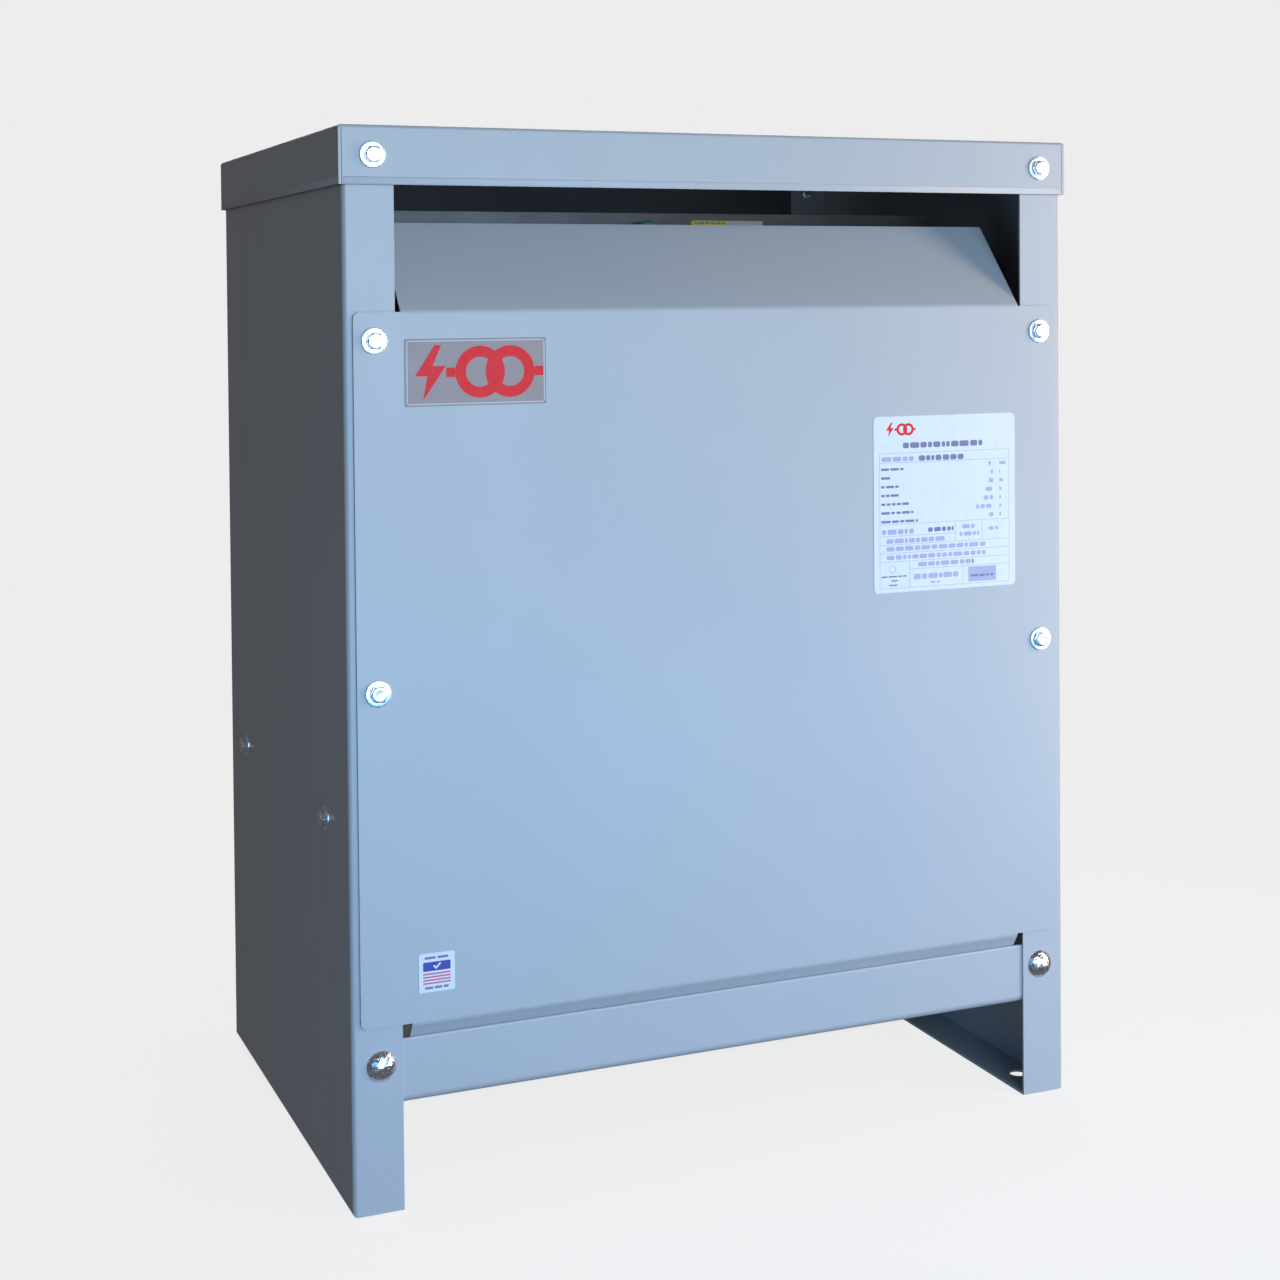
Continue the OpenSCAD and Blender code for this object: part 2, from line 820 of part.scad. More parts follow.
// A copper strap that bridges one isolation pad, from the core clamp to its support.
module ground_strap() {
    high = core_z + lower_clamp_t;
    drop = high - support_top;
    over_clamp = lower_clamp_leg - pad_offset + strap_margin;
    run = end_bolt_y - pad_y - over_clamp - strap_end;
    fall = atan(drop / run);
    tangent = strap_bend * tan(fall / 2);
    upper_l = strap_end + over_clamp - tangent;
    slope_l = norm([drop, run]) - 2 * tangent;
    lower_l = 2 * strap_end - tangent;
    color(copper_color)
        difference() {
            translate([support_x, 0, 0])
                along_x(strap_w)
                    translate([-pad_y + strap_end, high + strap_t / 2])
                        rotate(90)
                            bent_strip(
                                [[upper_l, fall, strap_bend], [slope_l, -fall, strap_bend], [lower_l]],
                                strap_t);
            for (y = [-pad_y, -end_bolt_y])
                translate([support_x, y, support_top - 1]) cylinder(h = drop + 6, r = base_hole_r);
        }
}

// ---------------------------------------------------------------- core

// The lower yoke and the three legs, stacked from steel laminations.
module core_legs() {
    color(core_color)
        along_y(stack_d) {
            translate([-core_w / 2, core_z]) square([core_w, yoke_h]);
            for (x = legs)
                translate([x - leg_w / 2, window_z - 1]) square([leg_w, window_top - window_z + 1]);
        }
}

module core_top_yoke() {
    color(core_color) block([-core_w / 2, core_w / 2], [-stack_y, stack_y], [window_top, yoke_top]);
}

// Steel angles along the lower yoke, whose outward legs stand on the pads.
module lower_clamps() {
    up = clamp_h - lower_clamp_t / 2 - clamp_bend;
    out = lower_clamp_leg - lower_clamp_t / 2 - clamp_bend;
    color(steel_color)
        front_and_rear()
            difference() {
                along_x(clamp_w)
                    translate([-stack_y - lower_clamp_t / 2, core_z + clamp_h])
                        rotate(180) bent_strip([[up, -90, clamp_bend], [out]], lower_clamp_t);
                for (x = [-bracket_x, bracket_x])
                    front_hole(x, lower_clamp_bolt_z, stack_y, 2 * clamp_t, clamp_hole_r);
                for (x = [-support_x, support_x])
                    translate([x, -pad_y, core_z - 1]) cylinder(h = lower_clamp_t + 2, r = base_hole_r);
            }
}

module upper_clamps() {
    color(steel_color)
        front_and_rear()
            difference() {
                block([-clamp_w / 2, clamp_w / 2], [-stack_y - clamp_t, -stack_y], [upper_clamp_z, yoke_top]);
                for (x = [-bracket_x, bracket_x])
                    front_hole(x, upper_clamp_bolt_z, stack_y, 2 * clamp_t, clamp_hole_r);
            }
}

// Through bolts just outside the core, one pair above and one below.
module clamp_bolts() {
    upper_front = stack_y + clamp_t + bracket_t;
    lower_front = stack_y + lower_clamp_t;
    spare = clamp_nut_h + clamp_bolt_spare;
    color(zinc_color)
        for (x = [-bracket_x, bracket_x]) {
            facing_front(x, upper_clamp_bolt_z, upper_front)
                hex_bolt(clamp_bolt_r, clamp_bolt_af, clamp_head_h, upper_front + stack_y + clamp_t + spare);
            facing_front(x, lower_clamp_bolt_z, lower_front)
                hex_bolt(clamp_bolt_r, clamp_bolt_af, clamp_head_h, 2 * lower_front + spare);
        }
}

module clamp_nuts() {
    color(zinc_color)
        rear_side()
            for (x = [-bracket_x, bracket_x]) {
                facing_front(x, upper_clamp_bolt_z, stack_y + clamp_t)
                    hex_nut(clamp_bolt_af, clamp_nut_h, clamp_bolt_r + thread_gap);
                facing_front(x, lower_clamp_bolt_z, stack_y + lower_clamp_t)
                    hex_nut(clamp_bolt_af, clamp_nut_h, clamp_bolt_r + thread_gap);
            }
}

// ---------------------------------------------------------------- coils

// A rectangular tube around one leg, from one distance off the leg to another.
module coil_tube(x, from, to, z, h) {
    translate([x, 0, z])
        linear_extrude(h)
            difference() {
                rounded_rect(leg_w + 2 * to, stack_d + 2 * to, coil_corner_r + to);
                rounded_rect(leg_w + 2 * from, stack_d + 2 * from, coil_corner_r + from);
            }
}

module coil_formers() {
    color(insulation_color)
        for (x = legs)
            coil_tube(x, leg_gap, former_out, window_z, window_top - window_z - 1);
}

module lv_winding(i) {
    color(copper_color) coil_tube(legs[i], lv_in, lv_out, coil_z, coil_h);
}

module hv_winding(i) {
    color("#a8743a") coil_tube(legs[i], hv_in, hv_out, coil_z, coil_h);
}

// Sticks that hold the air duct open between the two windings.
module duct_spacers() {
    color(insulation_color)
        for (x = legs, side = [-1, 1]) {
            for (y = [-stack_d / 4, stack_d / 4])
                translate([x + side * (leg_w / 2 + lv_out + duct_w / 2), y, coil_z + coil_h / 2])
                    cube([duct_w, stick_w, coil_h], center = true);
            for (dx = [-leg_w / 4, leg_w / 4])
                translate([x + dx, side * (stack_y + lv_out + duct_w / 2), coil_z + coil_h / 2])
                    cube([stick_w, duct_w, coil_h], center = true);
        }
}

// Blocks in the core's two windows, between the yokes and the coils' ends.
module coil_blocks() {
    block_w = leg_pitch - leg_w - 2 * former_out - 2 * block_gap;
    block_d = stack_d - 2 * block_gap;
    color(insulation_color)
        for (x = [-leg_pitch / 2, leg_pitch / 2], z = [window_z, coil_top])
            translate([x - block_w / 2, -block_d / 2, z]) cube([block_w, block_d, block_h]);
}

// ---------------------------------------------------------------- terminals

// Every bolt through the board: [x, z, thickness under the head, thickness of what is behind the board].
function terminal_places() = concat(
    [for (x = legs) [x + lv_offset, lv_bolt_z, tang_t, bus_t]],
    [[neutral_x, lv_bolt_z, tang_t, bus_t]],
    [for (x = legs) [x + hv_offset, hv_bolt_z, tang_t + palm_t, 0]],
    [for (x = [-bracket_x, bracket_x], z = board_bolt_zs) [x, z, 0, bracket_t]]
);

// Every wire lug: [x, z, distance of its back in front of the middle].
function lug_places() = concat(
    [for (x = legs) [x + lv_offset, lv_bolt_z, board_face]],
    [for (x = legs) [x + hv_offset, hv_bolt_z, board_face + palm_t]],
    [[neutral_x, lv_bolt_z, board_face]]
);

module terminal_board() {
    color("#2b2220")
        difference() {
            block([-board_w / 2, board_w / 2], [-board_face, -board_back],
                  [board_z, board_top + board_crest]);
            for (place = terminal_places())
                front_hole(place[0], place[1], board_back, 2 * board_t, stud_hole_r);
        }
}

module terminal_brackets() {
    color(steel_color)
        for (x = [-bracket_x, bracket_x])
            difference() {
                block([x - bracket_w / 2, x + bracket_w / 2], [-board_back, -board_back + bracket_t],
                      [upper_clamp_z, board_top - bracket_drop]);
                front_hole(x, upper_clamp_bolt_z, board_back, 2 * bracket_t, clamp_hole_r);
                for (z = board_bolt_zs)
                    front_hole(x, z, board_back, 2 * bracket_t, stud_hole_r);
            }
}

// The bolts through the board, and the screws that clamp a wire in each lug.
module terminal_bolts() {
    color(zinc_color) {
        for (place = terminal_places())
            facing_front(place[0], place[1], board_face + place[2])
                hex_bolt(stud_r, stud_af, stud_head_h, stud_l);
        for (place = lug_places())
            facing_front(place[0], place[1] + tang_top + lug_h / 2, place[2] + lug_d + lug_screw_out)
                translate([0, 0, -lug_screw_l]) cylinder(h = lug_screw_l, r = lug_screw_r - lug_screw_gap);
    }
}

module terminal_nuts() {
    color(zinc_color)
        for (place = terminal_places())
            facing_front(place[0], place[1], board_back - place[3] - stud_nut_h)
                hex_nut(stud_af, stud_nut_h, stud_r + thread_gap);
}

// A wire lug: a tang with the bolt's hole, and a block above it with an upright bore and a screw's hole.
module wire_lug(x, z, back) {
    difference() {
        union() {
            block([x - lug_w / 2, x + lug_w / 2], [-back - tang_t, -back],
                  [z - tang_top, z + tang_top + 1]);
            block([x - lug_w / 2, x + lug_w / 2], [-back - lug_d, -back],
                  [z + tang_top, z + tang_top + lug_h]);
        }
        front_hole(x, z, back, 2 * tang_t, stud_hole_r);
        translate([x, -back - lug_bore_y, z]) cylinder(h = tang_h + lug_h, r = lug_bore_r);
        facing_front(x, z + tang_top + lug_h / 2, back + lug_bore_y)
            cylinder(h = lug_d, r = lug_screw_r);
    }
}

module terminal_lugs() {
    color("#c9ccd0")
        for (place = lug_places())
            wire_lug(place[0], place[1], place[2]);
}

// Bars that rise from the low-voltage windings to the back of the board.
module lv_busbars() {
    color(copper_color)
        for (x = legs)
            difference() {
                block([x + lv_offset - bus_w / 2, x + lv_offset + bus_w / 2], [-board_back, -bus_back],
                      [coil_top, lv_bolt_z + bar_over_bolt]);
                front_hole(x + lv_offset, lv_bolt_z, board_back, 2 * bus_t, stud_hole_r);
            }
}

// The star point behind the coils, with a bar that crosses over the core to the board.
module neutral_busbar() {
    joint_h = 30;
    color(copper_color)
        difference() {
            union() {
                for (x = legs)
                    block([x - bus_w / 2, x + bus_w / 2], [bus_back, board_back],
                          [coil_top, neutral_cross_z + bus_t]);
                block([-leg_pitch - bus_w / 2, leg_pitch + bus_w / 2], [bus_back, board_back],
                      [neutral_cross_z + bus_t - joint_h, neutral_cross_z + bus_t]);
                block([neutral_x - bus_w / 2, neutral_x + bus_w / 2], [-board_back, board_back],
                      [neutral_cross_z, neutral_cross_z + bus_t]);
                block([neutral_x - bus_w / 2, neutral_x + bus_w / 2], [-board_back, -bus_back],
                      [neutral_cross_z, lv_bolt_z + bar_over_bolt]);
            }
            front_hole(neutral_x, lv_bolt_z, board_back, 2 * bus_t, stud_hole_r);
        }
}

// Insulated leads that rise from the high-voltage windings, each with a flat palm at its end.
module hv_leads() {
    palm_w = 20;
    barrel_r = lead_r + 1.5;
    barrel_z = hv_bolt_z - 32;
    color("#1f2125")
        for (x = legs)
            difference() {
                union() {
                    translate([x + hv_offset, -lead_y, coil_top])
                        cylinder(h = barrel_z - coil_top + 1, r = lead_r);
                    translate([x + hv_offset, -lead_y, barrel_z]) cylinder(h = 16, r = barrel_r);
                    block([x + hv_offset - palm_w / 2, x + hv_offset + palm_w / 2],
                          [-board_face - palm_t, -board_face], [barrel_z + 4, hv_bolt_z + 12]);
                    block([x + hv_offset - 3, x + hv_offset + 3], [-lead_y, -board_face - palm_t + 1],
                          [barrel_z + 4, barrel_z + 16]);
                }
                front_hole(x + hv_offset, hv_bolt_z, board_face, 2 * palm_t, stud_hole_r);
            }
}

// The green lead that bonds the neutral lug to the core clamp.
module bonding_lead() {
    turn_z = bond_top - bond_turn - bond_r;
    lug_low = lv_bolt_z + 20;
    elbow = 12;
    clamp_face = stack_y + clamp_t;
    ring_t = 2;
    color("#2f8f4e") {
        translate([neutral_x, -bond_y, lug_low]) cylinder(h = turn_z - lug_low, r = bond_r);
        translate([(neutral_x + bond_x) / 2, -bond_y, turn_z])
            rotate([90, 0, 0]) rotate_extrude(angle = 180) translate([bond_turn, 0]) circle(bond_r);
        translate([bond_x, -bond_y, bond_end_z + elbow])
            cylinder(h = turn_z - bond_end_z - elbow, r = bond_r);
        translate([bond_x, -bond_y + elbow, bond_end_z + elbow])
            rotate([0, 90, 0]) rotate([0, 0, -90])
                rotate_extrude(angle = 90) translate([elbow, 0]) circle(bond_r);
        facing_front(bond_x, bond_end_z, clamp_face + ring_t / 2)
            cylinder(h = bond_y - elbow - clamp_face - ring_t / 2, r = bond_r);
        facing_front(bond_x, bond_end_z, clamp_face) cylinder(h = ring_t, r = 6);
    }
}

module board_label() {
    color("#e6cf3a")
        translate([board_label_x, -board_face - label_t / 2, board_top - board_label[1] / 2])
            along_y(label_t) rounded_rect(board_label[0], board_label[1], 1);
}

// ---------------------------------------------------------------- assembly

side_panel_left();
side_panel_right();
front_rail();
rear_rail();
lid();
front_panel();
rear_panel();
rating_plate();
badge();
small_label();
panel_bolt(0);  // panel_bolt_1
panel_bolt(1);  // panel_bolt_2
panel_bolt(2);  // panel_bolt_3
panel_bolt(3);  // panel_bolt_4
panel_washer(0);  // panel_washer_1
panel_washer(1);  // panel_washer_2
panel_washer(2);  // panel_washer_3
panel_washer(3);  // panel_washer_4
cover_nuts();
rear_bolts();
rear_washers();
lid_bolts();
lid_washers();
lid_nuts();
foot_bolts();
foot_nuts();
side_bolts();
side_washers();
side_nuts();
side_braces();
core_legs();
core_top_yoke();
lower_clamps();
upper_clamps();
clamp_bolts();
clamp_nuts();
coil_formers();
lv_winding(0);  // lv_winding_a
lv_winding(1);  // lv_winding_b
lv_winding(2);  // lv_winding_c
duct_spacers();
hv_winding(0);  // hv_winding_a
hv_winding(1);  // hv_winding_b
hv_winding(2);  // hv_winding_c
coil_blocks();
core_supports();
isolation_pads();
base_bolts();
base_nuts();
ground_strap();
terminal_board();
terminal_brackets();
terminal_bolts();
terminal_nuts();
terminal_lugs();
lv_busbars();
neutral_busbar();
hv_leads();
bonding_lead();
board_label();
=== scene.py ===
import json
import math
import random

import bmesh
import bpy
from mathutils import Matrix, Vector

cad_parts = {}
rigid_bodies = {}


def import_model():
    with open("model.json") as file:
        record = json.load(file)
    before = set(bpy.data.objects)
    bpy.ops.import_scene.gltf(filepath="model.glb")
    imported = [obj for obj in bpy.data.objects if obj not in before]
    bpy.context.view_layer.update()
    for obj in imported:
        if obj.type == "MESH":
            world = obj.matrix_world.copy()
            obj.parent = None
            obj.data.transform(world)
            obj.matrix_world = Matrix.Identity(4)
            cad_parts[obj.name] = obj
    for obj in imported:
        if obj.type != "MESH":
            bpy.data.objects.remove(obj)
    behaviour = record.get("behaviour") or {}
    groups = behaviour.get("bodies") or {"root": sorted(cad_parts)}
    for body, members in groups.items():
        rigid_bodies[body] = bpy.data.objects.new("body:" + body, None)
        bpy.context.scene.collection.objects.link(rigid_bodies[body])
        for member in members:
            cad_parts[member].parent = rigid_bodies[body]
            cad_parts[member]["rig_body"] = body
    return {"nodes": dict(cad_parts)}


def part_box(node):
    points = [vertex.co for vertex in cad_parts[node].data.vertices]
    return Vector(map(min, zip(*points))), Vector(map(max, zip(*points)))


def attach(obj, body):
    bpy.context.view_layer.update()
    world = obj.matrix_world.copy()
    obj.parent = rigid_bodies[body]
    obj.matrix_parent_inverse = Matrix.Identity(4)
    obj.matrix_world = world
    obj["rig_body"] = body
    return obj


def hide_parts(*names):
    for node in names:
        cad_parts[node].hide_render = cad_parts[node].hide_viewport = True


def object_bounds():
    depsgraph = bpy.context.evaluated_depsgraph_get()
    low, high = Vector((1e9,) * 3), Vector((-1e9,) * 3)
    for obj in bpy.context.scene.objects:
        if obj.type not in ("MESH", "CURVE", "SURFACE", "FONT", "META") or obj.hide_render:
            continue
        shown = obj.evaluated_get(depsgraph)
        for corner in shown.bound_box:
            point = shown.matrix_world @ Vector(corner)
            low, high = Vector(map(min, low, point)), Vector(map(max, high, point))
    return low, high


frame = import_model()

MM = 0.001
NODES = frame["nodes"]
cad_low, cad_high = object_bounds()
MIDDLE = (cad_low + cad_high) / 2

# Sizes that the boxes don't say, in millimetres
THREAD_PITCH = 1.27
COARSE_PITCH = 1.5
SHEET_EDGE = 0.35

# The camera that was fitted to the photograph: where it stands (mm), how it is turned (radians), its lens
# (mm), and how far the lens is shifted, as a share of the picture's width
CAMERA_PLACE = (-653.28, -1585.6, 636.22)
CAMERA_YAW, CAMERA_PITCH, CAMERA_ROLL = 0.3975, -0.0217, -0.0086
CAMERA_LENS = 57.725
CAMERA_SENSOR = 36
CAMERA_SHIFT = -0.2278

# The brightness of the background, of the floor near the case, and of the floor under its rear half
BACKGROUND = 0.847
FLOOR_GLOW = 0.815
FLOOR_SHADE = 0.06


# ---------------------------------------------------------------- camera, floor and light

def add_camera():
    """The camera at the photograph's viewing angle. Upright lines stay upright through the lens shift."""
    yaw, pitch, roll = CAMERA_YAW, CAMERA_PITCH, CAMERA_ROLL
    forward = Vector((math.sin(yaw) * math.cos(pitch), math.cos(yaw) * math.cos(pitch), math.sin(pitch)))
    level = Vector((math.cos(yaw), -math.sin(yaw), 0))
    plumb = level.cross(forward)
    right = math.cos(roll) * level + math.sin(roll) * plumb
    up = -math.sin(roll) * level + math.cos(roll) * plumb
    camera = bpy.data.objects.new("camera", bpy.data.cameras.new("camera"))
    turned = Matrix((right, up, -forward)).transposed().to_4x4()
    camera.matrix_world = Matrix.Translation(Vector(CAMERA_PLACE) * MM) @ turned
    camera.data.sensor_width = CAMERA_SENSOR
    camera.data.lens = CAMERA_LENS
    camera.data.shift_y = CAMERA_SHIFT
    camera.data.clip_start = 0.05
    camera.data.clip_end = 60
    bpy.context.scene.collection.objects.link(camera)
    bpy.context.scene.camera = camera


def add_area_light(name, place, target, size, watts, colour):
    light = bpy.data.lights.new(name, "AREA")
    light.shape = "RECTANGLE"
    light.size, light.size_y = size
    light.energy = watts
    light.color = colour
    lamp = bpy.data.objects.new(name, light)
    lamp.location = place
    lamp.rotation_mode = "QUATERNION"
    lamp.rotation_quaternion = (Vector(target) - Vector(place)).to_track_quat("-Z", "Y")
    lamp.visible_camera = False
    bpy.context.scene.collection.objects.link(lamp)


def under_case_shade(tree, place):
    """The floor's brightness: even, but dark under the rear half of the case, where little light comes."""
    split = tree.nodes.new("ShaderNodeSeparateXYZ")
    tree.links.new(place, split.inputs[0])

    def ramp(source, start, stop):
        node = tree.nodes.new("ShaderNodeMapRange")
        node.interpolation_type = "SMOOTHSTEP"
        node.inputs["From Min"].default_value = start
        node.inputs["From Max"].default_value = stop
        tree.links.new(source, node.inputs["Value"])
        return node.outputs[0]

    def calculate(operation, *sources):
        node = tree.nodes.new("ShaderNodeMath")
        node.operation = operation
        for source, socket in zip(sources, node.inputs):
            tree.links.new(source, socket)
        return node.outputs[0]

    across = ramp(calculate("ABSOLUTE", split.outputs["X"]), cad_high.x, cad_high.x - 0.05)
    front = ramp(split.outputs["Y"], -0.02, 0.11)
    rear = ramp(split.outputs["Y"], cad_high.y + 0.015, cad_high.y - 0.04)
    inside = calculate("MULTIPLY", calculate("MULTIPLY", across, front), rear)
    flipped = tree.nodes.new("ShaderNodeMapRange")
    flipped.inputs["To Min"].default_value = 1.0
    flipped.inputs["To Max"].default_value = FLOOR_SHADE
    tree.links.new(inside, flipped.inputs["Value"])
    return flipped.outputs[0]


def add_studio():
    """A pale floor that runs into a pale background, and soft light that falls mostly on the front."""
    scene = bpy.context.scene
    scene.view_settings.view_transform = "Standard"
    world = bpy.data.worlds.new("studio")
    scene.world = world
    world.use_nodes = True
    tree = world.node_tree
    tree.nodes.clear()
    out = tree.nodes.new("ShaderNodeOutputWorld")
    path = tree.nodes.new("ShaderNodeLightPath")
    seen = tree.nodes.new("ShaderNodeBackground")
    seen.inputs["Color"].default_value = (BACKGROUND, BACKGROUND, BACKGROUND, 1)
    lit = tree.nodes.new("ShaderNodeBackground")
    lit.inputs["Color"].default_value = (0.105, 0.105, 0.110, 1)
    mixed = tree.nodes.new("ShaderNodeMixShader")
    tree.links.new(path.outputs["Is Camera Ray"], mixed.inputs["Fac"])
    tree.links.new(lit.outputs[0], mixed.inputs[1])
    tree.links.new(seen.outputs[0], mixed.inputs[2])
    tree.links.new(mixed.outputs[0], out.inputs["Surface"])

    middle = (0, 0, 0.4)
    add_area_light("front_light", (0.1, -3.2, 0.75), middle, (2.2, 1.9), 90, (0.455, 0.69, 0.96))
    add_area_light("right_light", (1.15, -0.95, 0.5), (0.2, 0, 0.35), (0.4, 1.3), 13.5, (1.0, 0.86, 0.74))
    add_area_light("low_light", (-0.05, -0.75, 0.2), (-0.05, 0, 0.0), (1.5, 0.3), 2.4, (0.12, 0.46, 1.0))
    add_area_light("top_light", (0.5, 0.3, 3.2), middle, (2.4, 2.0), 9, (0.55, 0.9, 1.0))
    add_area_light("rear_light", (1.0, 3.2, 1.4), middle, (2.2, 2.0), 40, (0.92, 0.96, 1.0))
    add_area_light("left_light", (-3.2, 0.3, 1.2), middle, (1.6, 2.0), 2.5, (1.0, 0.99, 0.97))

    floor_mesh = bpy.data.meshes.new("floor")
    disc = bmesh.new()
    bmesh.ops.create_circle(disc, cap_ends=True, radius=9, segments=96)
    disc.to_mesh(floor_mesh)
    disc.free()
    floor = bpy.data.objects.new("floor", floor_mesh)
    scene.collection.objects.link(floor)
    floor.visible_diffuse = False
    floor.visible_glossy = False
    paint = bpy.data.materials.new("floor")
    paint.use_nodes = True
    tree = paint.node_tree
    tree.nodes.clear()
    out = tree.nodes.new("ShaderNodeOutputMaterial")
    shade = tree.nodes.new("ShaderNodeBsdfDiffuse")
    shade.inputs["Color"].default_value = (0.10, 0.10, 0.10, 1)
    glow = tree.nodes.new("ShaderNodeEmission")
    glow.inputs["Color"].default_value = (FLOOR_GLOW, FLOOR_GLOW, FLOOR_GLOW, 1)
    near = tree.nodes.new("ShaderNodeAddShader")
    far = tree.nodes.new("ShaderNodeEmission")
    far.inputs["Color"].default_value = (BACKGROUND, BACKGROUND, BACKGROUND, 1)
    place = tree.nodes.new("ShaderNodeTexCoord")
    length = tree.nodes.new("ShaderNodeVectorMath")
    length.operation = "LENGTH"
    fade = tree.nodes.new("ShaderNodeMapRange")
    fade.inputs["From Min"].default_value = 0.35
    fade.inputs["From Max"].default_value = 1.5
    fade.interpolation_type = "SMOOTHSTEP"
    mixed = tree.nodes.new("ShaderNodeMixShader")
    glow_strength = under_case_shade(tree, place.outputs["Object"])
    tree.links.new(glow_strength, glow.inputs["Strength"])
    tree.links.new(place.outputs["Object"], length.inputs[0])
    tree.links.new(length.outputs["Value"], fade.inputs["Value"])
    tree.links.new(fade.outputs[0], mixed.inputs["Fac"])
    tree.links.new(shade.outputs[0], near.inputs[0])
    tree.links.new(glow.outputs[0], near.inputs[1])
    tree.links.new(near.outputs[0], mixed.inputs[1])
    tree.links.new(far.outputs[0], mixed.inputs[2])
    tree.links.new(mixed.outputs[0], out.inputs["Surface"])
    floor_mesh.materials.append(paint)


# ---------------------------------------------------------------- materials

class Finish:
    """A procedural material, built node by node round one Principled shader. Lengths are in metres."""

    def __init__(self, name, **fixed):
        self.material = bpy.data.materials.new(name)
        self.material.use_nodes = True
        self.tree = self.material.node_tree
        self.tree.nodes.clear()
        out = self.add("OutputMaterial")
        self.shader = self.add("BsdfPrincipled")
        self.join(self.shader.outputs[0], out.inputs["Surface"])
        self.place = self.add("TexCoord").outputs["Object"]
        self.height = None
        for socket, value in fixed.items():
            self.shader.inputs[socket.replace("_", " ").title().replace("Ior", "IOR")].default_value = value

    def add(self, kind):
        return self.tree.nodes.new("ShaderNode" + kind)

    def join(self, source, target):
        self.tree.links.new(source, target)

    def stretched(self, factors):
        mapping = self.add("Mapping")
        mapping.inputs["Scale"].default_value = factors
        self.join(self.place, mapping.inputs["Vector"])
        return mapping.outputs[0]

    def noise(self, feature, detail=3, roughness=0.5, stretch=None):
        """Noise whose features are about that many metres wide."""
        node = self.add("TexNoise")
        node.inputs["Scale"].default_value = 1 / feature
        node.inputs["Detail"].default_value = detail
        node.inputs["Roughness"].default_value = roughness
        self.join(self.stretched(stretch) if stretch else self.place, node.inputs["Vector"])
        return node.outputs["Fac"]

    def stripes(self, period, axis, distortion=0.0, profile="SIN"):
        """Lines that repeat along one axis, a period apart."""
        node = self.add("TexWave")
        node.wave_type = "BANDS"
        node.bands_direction = axis
        node.wave_profile = profile
        node.inputs["Scale"].default_value = math.pi / 10 / period
        node.inputs["Distortion"].default_value = distortion
        node.inputs["Detail"].default_value = 1
        self.join(self.place, node.inputs["Vector"])
        return node.outputs["Fac"]

    def cells(self, feature, stretch=None):
        node = self.add("TexVoronoi")
        node.inputs["Scale"].default_value = 1 / feature
        self.join(self.stretched(stretch) if stretch else self.place, node.inputs["Vector"])
        return node.outputs["Distance"]

    def span(self, value, low, high, start=0.3, stop=0.7):
        """Turns start..stop of a pattern into low..high."""
        node = self.add("MapRange")
        node.inputs["From Min"].default_value = start
        node.inputs["From Max"].default_value = stop
        node.inputs["To Min"].default_value = low
        node.inputs["To Max"].default_value = high
        self.join(value, node.inputs["Value"])
        return node.outputs[0]

    def math(self, operation, a, b):
        node = self.add("Math")
        node.operation = operation
        for socket, value in zip(node.inputs, (a, b)):
            if isinstance(value, (int, float)):
                socket.default_value = value
            else:
                self.join(value, socket)
        return node.outputs[0]

    def blend(self, factor, first, second):
        """A colour between two colours, each given as numbers or as another node's colour."""
        node = self.add("Mix")
        node.data_type = "RGBA"
        self.join(factor, node.inputs[0])
        for socket, colour in ((node.inputs[6], first), (node.inputs[7], second)):
            if isinstance(colour, tuple):
                socket.default_value = (*colour, 1)
            else:
                self.join(colour, socket)
        return node.outputs[2]

    def colour(self, source):
        self.join(source, self.shader.inputs["Base Color"])
        return self

    def rough(self, source):
        self.join(source, self.shader.inputs["Roughness"])
        return self

    def bump(self, pattern, depth, strength=1.0):
        """Adds relief of that depth on top of the relief so far."""
        node = self.add("Bump")
        node.inputs["Distance"].default_value = depth
        node.inputs["Strength"].default_value = strength
        self.join(pattern, node.inputs["Height"])
        if self.height:
            self.join(self.height, node.inputs["Normal"])
        self.height = node.outputs[0]
        self.join(self.height, self.shader.inputs["Normal"])
        return self


def powder_coat(name, tone, deep, rough_low, rough_high):
    """Satin powder coat on sheet steel: fine orange peel, faint clouding, a light film of dust."""
    f = Finish(name, metallic=0.0, ior=1.5, coat_weight=0.18, coat_roughness=0.32)
    cloud = f.span(f.noise(0.16, 4, 0.55), 0, 1, 0.25, 0.75)
    grain = f.span(f.noise(0.0012, 2, 0.6), 0, 1, 0.2, 0.8)
    body = f.blend(cloud, deep, tone)
    speck = tuple(min(1, c * 1.06) for c in tone)
    f.colour(f.blend(f.math("MULTIPLY", grain, 0.35), body, speck))
    smudge = f.noise(0.05, 5, 0.62, (1, 1, 0.4))
    f.rough(f.span(smudge, rough_low, rough_high))
    f.bump(f.noise(0.28, 1, 0.4), 0.0012, 0.5)
    f.bump(f.noise(0.0021, 2, 0.5), 0.00005, 0.8)
    return f.material


def zinc_plate(name, tone, deep, rough_low, rough_high):
    """Zinc plate: bright metal with a fine crystal and faint tool marks."""
    f = Finish(name, metallic=1.0)
    stain = f.span(f.noise(0.004, 4, 0.6), 0, 1)
    f.colour(f.blend(stain, deep, tone))
    f.rough(f.span(f.noise(0.0011, 3, 0.6), rough_low, rough_high))
    f.bump(f.cells(0.0008), 0.00002, 0.5)
    f.bump(f.noise(0.0004, 2, 0.5, (1, 1, 5)), 0.00001, 0.4)
    return f.material


